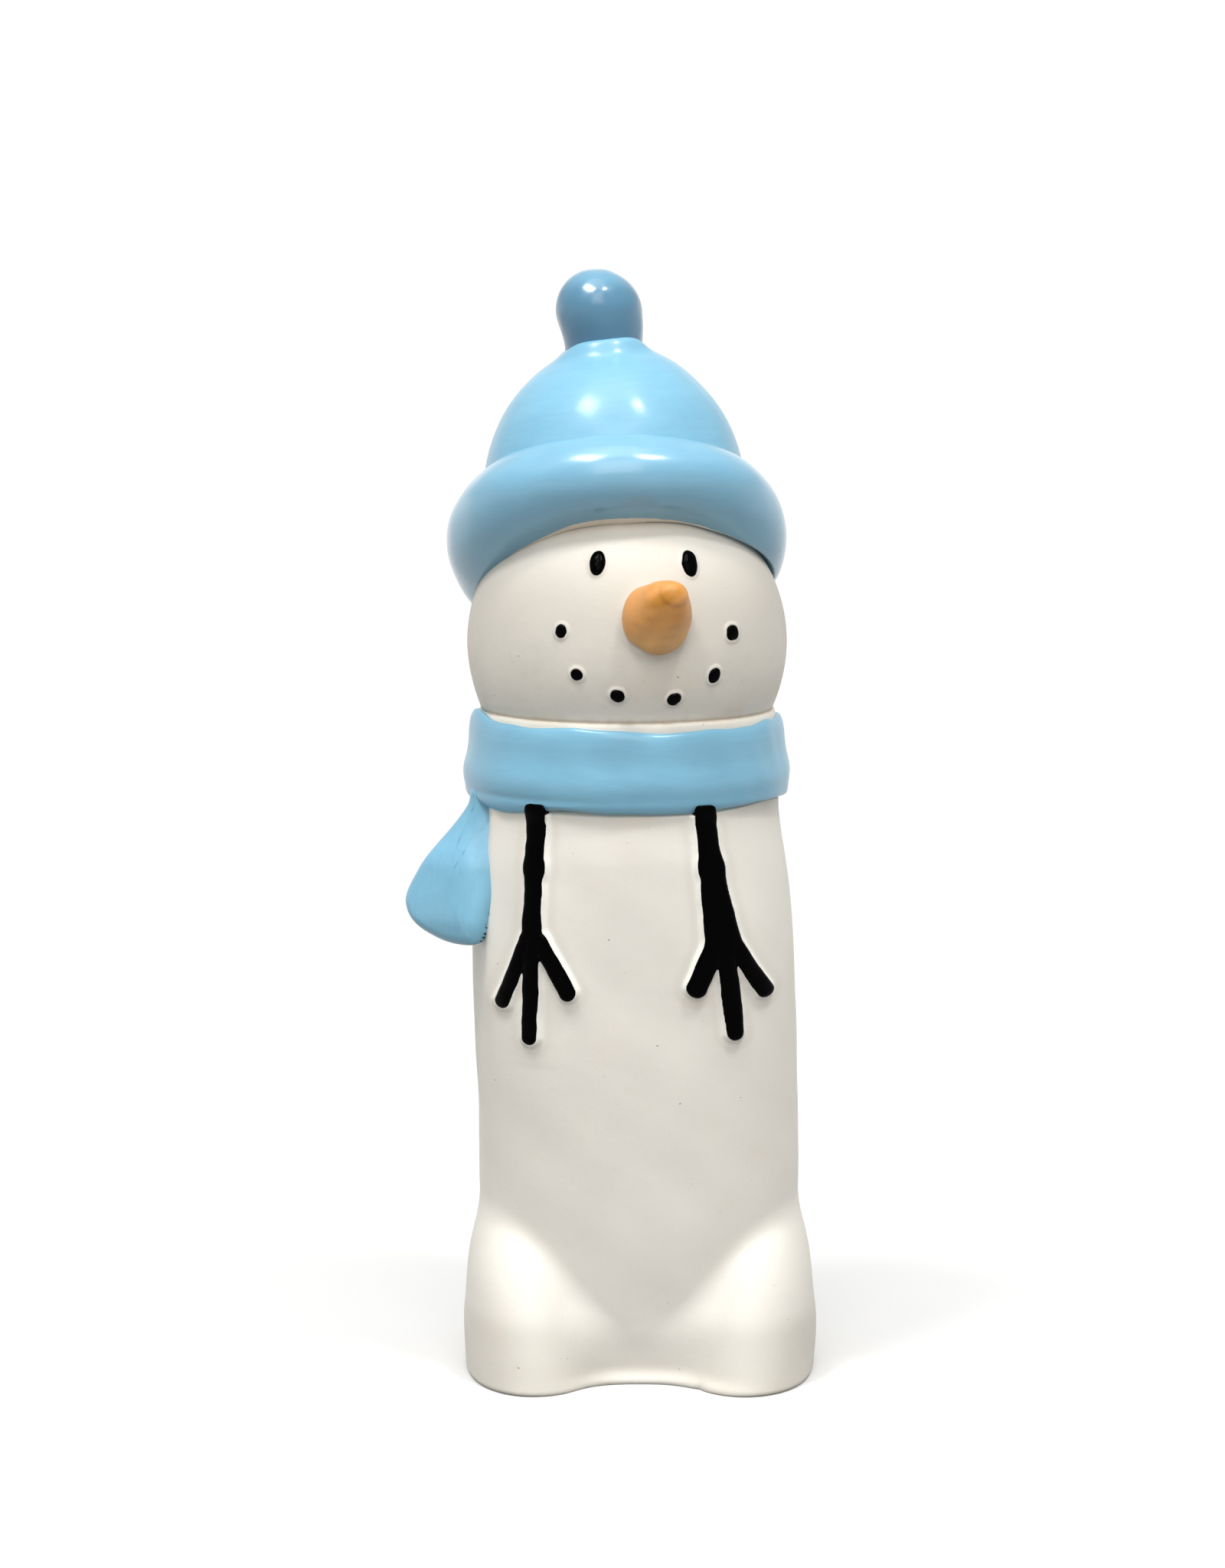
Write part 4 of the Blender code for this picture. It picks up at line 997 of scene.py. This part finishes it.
def band():
    """Scarf round the neck, with a soft fold at its foot and a corner that climbs to the head."""
    turn = front_weighted_turns(240, 0, 90, 110)
    degrees = off_front(turn)
    profile = np.array(BAND_PROFILE)
    length = lengths(profile)
    at = np.linspace(0, length[-1], 64)
    radius = along(list(zip(length, profile[:, 0])), at)
    z = along(list(zip(length, profile[:, 1])), at)
    share = (z - z.min()) / (z.max() - z.min())
    edge = 0.35 * np.sin(np.radians(degrees) * 5 + 1) + 0.2 * np.sin(np.radians(degrees) * 13)
    climb = humps(BAND_CLIMB, degrees) + edge
    hem = humps(BAND_HEM, degrees) + SHOULDER_DROP * hump(SHOULDER_AT, SHOULDER_SPREAD, degrees)
    ring = toward(turn)
    rows = zip(radius, z, step(0.55, 1.0, share), step(0.12, 0.0, share))
    rings = np.array([circle(ring, reach, height + climb * top - hem * bottom, UPPER_X)
                      for reach, height, top, bottom in rows])
    out = grid_normals(rings)
    fold = -0.5 * hump(0.16, 0.05, share)[:, None] * hump(-50, 30, degrees)
    swell = 0.35 * hump(0.35, 0.12, share)[:, None] - 0.25 * hump(0.62, 0.12, share)[:, None]
    bumps = lumps(rings, (0.28, 24, 81), (0.10, 8, 82))
    rings = rings + out * (fold + swell + bumps)[..., None]
    inner = [circle(ring, NECK_RADIUS + 0.3, height, UPPER_X) for height in (237.2, 209.0)]
    rings = np.concatenate([rings, inner])
    piece = loft("scarf", rings, BLUE, [("brush", stroke(rings))], ring_shaped=True)
    return stand_for(piece, "scarf_band")


def smooth_outline(corners, count):
    """Evenly spaced points on a closed smooth curve through the corners."""
    corners = np.array(corners)
    t = np.linspace(0, 1, 24, endpoint=False)[:, None]
    parts = []
    for n in range(len(corners)):
        a, b, c, d = (corners[(n + k) % len(corners)] for k in (-1, 0, 1, 2))
        parts.append(b + 0.5 * (c - a) * t + (a - 2.5 * b + 2 * c - 0.5 * d) * t ** 2
                     + (-0.5 * a + 1.5 * b - 1.5 * c + 0.5 * d) * t ** 3)
    points = np.concatenate(parts)
    closed = np.vstack([points, points[:1]])
    length = lengths(closed)
    at = np.linspace(0, length[-1], count, endpoint=False)
    return np.column_stack([np.interp(at, length, closed[:, axis]) for axis in (0, 1)])


def tail():
    """Short thick end of the scarf: a rounded lobe that comes out from under the band."""
    turn = math.radians(TAIL_TURN)
    outward = np.array([*toward(turn), 0.0])
    wide = np.array([-outward[1], outward[0], 0.0])
    root = np.array([TAIL_AT[0], TAIL_AT[1], 0.0])
    outline = smooth_outline(TAIL_OUTLINE, 200)
    tangent = np.roll(outline, -1, axis=0) - np.roll(outline, 1, axis=0)
    inward = np.column_stack([tangent[:, 1], -tangent[:, 0]])
    inward /= np.linalg.norm(inward, axis=1, keepdims=True)
    middle = np.array([-11.0, 180.0])
    if ((middle - outline) * inward).sum() < 0:
        inward = -inward
    half, edge = TAIL_THICK / 2, 4.6
    rings = []
    for angle in np.radians(np.linspace(-90, 90, 21)):
        inset = edge * (1 - math.cos(angle))
        side = math.copysign(min(abs(math.sin(angle)) * 4, 1.0), angle)
        depth = (half - edge) * side + edge * math.sin(angle)
        flat = outline + inward * inset
        rings.append(root + wide * flat[:, :1] + outward * depth + np.array([0, 0, 1]) * flat[:, 1:])
    rings = np.array(rings)
    faces_out = []
    for share in (0.86, 0.7, 0.54, 0.38, 0.22, 0.08):
        flat = middle + (outline + inward * edge - middle) * share
        out = half + 0.9 * (1 - share ** 2)
        faces_out.append(root + wide * flat[:, :1] + outward * out + np.array([0, 0, 1]) * flat[:, 1:])
    rings = np.concatenate([rings, faces_out])
    height, u = rings[..., 2], (rings - root) @ wide
    front = (rings - root) @ outward > 0
    tuck = -8.5 * step(186, 210, height)
    turn_back = -3.4 * step(-5.0, 5.5, u) * front - 1.6 * step(169, 160, height) * front
    bumps = lumps(rings, (0.25, 16, 91), (0.08, 6, 92))
    rings = rings + outward * (tuck + turn_back + bumps)[..., None]
    rings[..., 1] -= TAIL_TILT * np.maximum(197 - height, 0)
    brush = np.stack([rings @ wide, rings @ outward, rings[..., 2] * 0.12], -1)
    return stand_for(loft("scarf_end", rings, BLUE, [("brush", brush)]), "scarf_tail")


# ---- studio

CAMERA_BACK, CAMERA_HEIGHT, AIM_HEIGHT = 1.7, 0.4327, 0.2131
CAMERA_SIDE = -0.010
SENSOR_HEIGHT, FOCAL_PER_HEIGHT = 36.0, 6130 / 2048
SKY_COLOUR = (1.0, 0.995, 0.985)
SKY, SKY_BEHIND, SKY_BELOW = 0.50, 0.80, 0.09
FLOOR_COLOUR = (0.82, 0.82, 0.815)
EXPOSURE = 0.4
LAMP_AIM = Vector((0, 0, 0.24))
# Lamps: azimuth, elevation, distance, size, energy
LAMPS = {
    "lamp_left": (-47, 65, 2.2, 0.46, 15),
    "lamp_right": (44, 65, 2.2, 0.28, 11),
    "front": (0, 40, 2.4, 1.4, 12),
    "overhead": (0, 82, 2.2, 1.2, 6),
}


def look_at(name, data, place, aim):
    """New object at a place, turned to face the aim."""
    made = bpy.data.objects.new(name, data)
    bpy.context.scene.collection.objects.link(made)
    made.location = place
    made.rotation_euler = (aim - made.location).to_track_quat("-Z", "Y").to_euler()
    return made


def camera():
    made = bpy.data.cameras.new("camera")
    made.sensor_fit = "VERTICAL"
    made.sensor_height = SENSOR_HEIGHT
    made.lens = FOCAL_PER_HEIGHT * SENSOR_HEIGHT
    aim = Vector((FIGURE[0] * MM + CAMERA_SIDE, FIGURE[1] * MM, AIM_HEIGHT))
    eye = aim + Vector((0, -CAMERA_BACK, CAMERA_HEIGHT - AIM_HEIGHT))
    bpy.context.scene.camera = look_at("camera", made, eye, aim)


def soft_light(name, azimuth, elevation, distance, size, energy):
    """Square lamp that looks at the figure: azimuth 0 is the camera's side, positive to +X."""
    lamp = bpy.data.lights.new(name, "AREA")
    lamp.size = size
    lamp.energy = energy
    turn, up = math.radians(azimuth), math.radians(elevation)
    away = Vector((math.sin(turn) * math.cos(up), -math.cos(turn) * math.cos(up), math.sin(up)))
    look_at(name, lamp, LAMP_AIM + away * distance, LAMP_AIM)


def floor():
    """Pale floor that fades into the surroundings' tone away from the figure."""
    mesh = bpy.data.meshes.new("floor")
    ring = toward(np.linspace(0, 2 * math.pi, 96, endpoint=False)) * 6.0
    mesh.from_pydata(np.column_stack([ring, np.zeros(96)]).tolist(), [], [list(range(96))])
    look = Look("floor")
    place = look.place()
    colour = look.mix(look.noise(place, 60, 3), FLOOR_COLOUR, tuple(c * 1.02 for c in FLOOR_COLOUR))
    look.finish(colour, 0.8, look.bump(look.noise(place, 3, 2), 0.05))
    away = look.add("VectorMath", "Value", {0: place}, operation="LENGTH")
    glow = look.add("Emission", "Emission", {"Color": (*SKY_COLOUR, 1), "Strength": SKY_BEHIND})
    share = look.fit(away, 90, 420, 0, 1)
    both = look.add("MixShader", "Shader", {0: share, 1: look.shader.outputs["BSDF"], 2: glow})
    look.tree.links.new(both, look.tree.nodes["Material Output"].inputs["Surface"])
    mesh.materials.append(look.material)
    made = bpy.data.objects.new("floor", mesh)
    bpy.context.scene.collection.objects.link(made)
    made.visible_diffuse = False


def surroundings():
    """Pale light from above, brighter along the horizon and behind the figure, and little from below."""
    world = bpy.data.worlds.new("studio")
    world.use_nodes = True
    tree = world.node_tree
    background = tree.nodes["Background"]
    background.inputs["Color"].default_value = (*SKY_COLOUR, 1)
    direction = tree.nodes.new("ShaderNodeTexCoord")
    parts = tree.nodes.new("ShaderNodeSeparateXYZ")
    tree.links.new(direction.outputs["Generated"], parts.inputs[0])

    def ramp(part, low, high, to_low, to_high):
        made = tree.nodes.new("ShaderNodeMapRange")
        for key, value in (("From Min", low), ("From Max", high), ("To Min", to_low), ("To Max", to_high)):
            made.inputs[key].default_value = value
        tree.links.new(parts.outputs[part], made.inputs["Value"])
        return made

    behind = ramp("Y", 0.82, 0.94, SKY, SKY_BEHIND)
    horizon = ramp("Z", 0.10, 0.20, SKY_BEHIND, SKY)
    tone = ramp("Z", -0.20, -0.08, SKY_BELOW, SKY)
    brighter = tree.nodes.new("ShaderNodeMath")
    brighter.operation = "MAXIMUM"
    tree.links.new(behind.outputs["Result"], brighter.inputs[0])
    tree.links.new(horizon.outputs["Result"], brighter.inputs[1])
    tree.links.new(brighter.outputs["Value"], tone.inputs["To Max"])
    tree.links.new(tone.outputs["Result"], background.inputs["Strength"])
    bpy.context.scene.world = world
    bpy.context.scene.view_settings.view_transform = "Standard"
    bpy.context.scene.view_settings.exposure = EXPOSURE


def studio():
    floor()
    surroundings()
    for lamp_name, settings in LAMPS.items():
        soft_light(lamp_name, *settings)


body()
for arm_name in ARMS:
    stand_for(twig_arm(arm_name), arm_name)
head()
for bead_name in BEADS:
    bead(bead_name)
nose()
crown()
cuff()
pompom()
band()
tail()
camera()
studio()
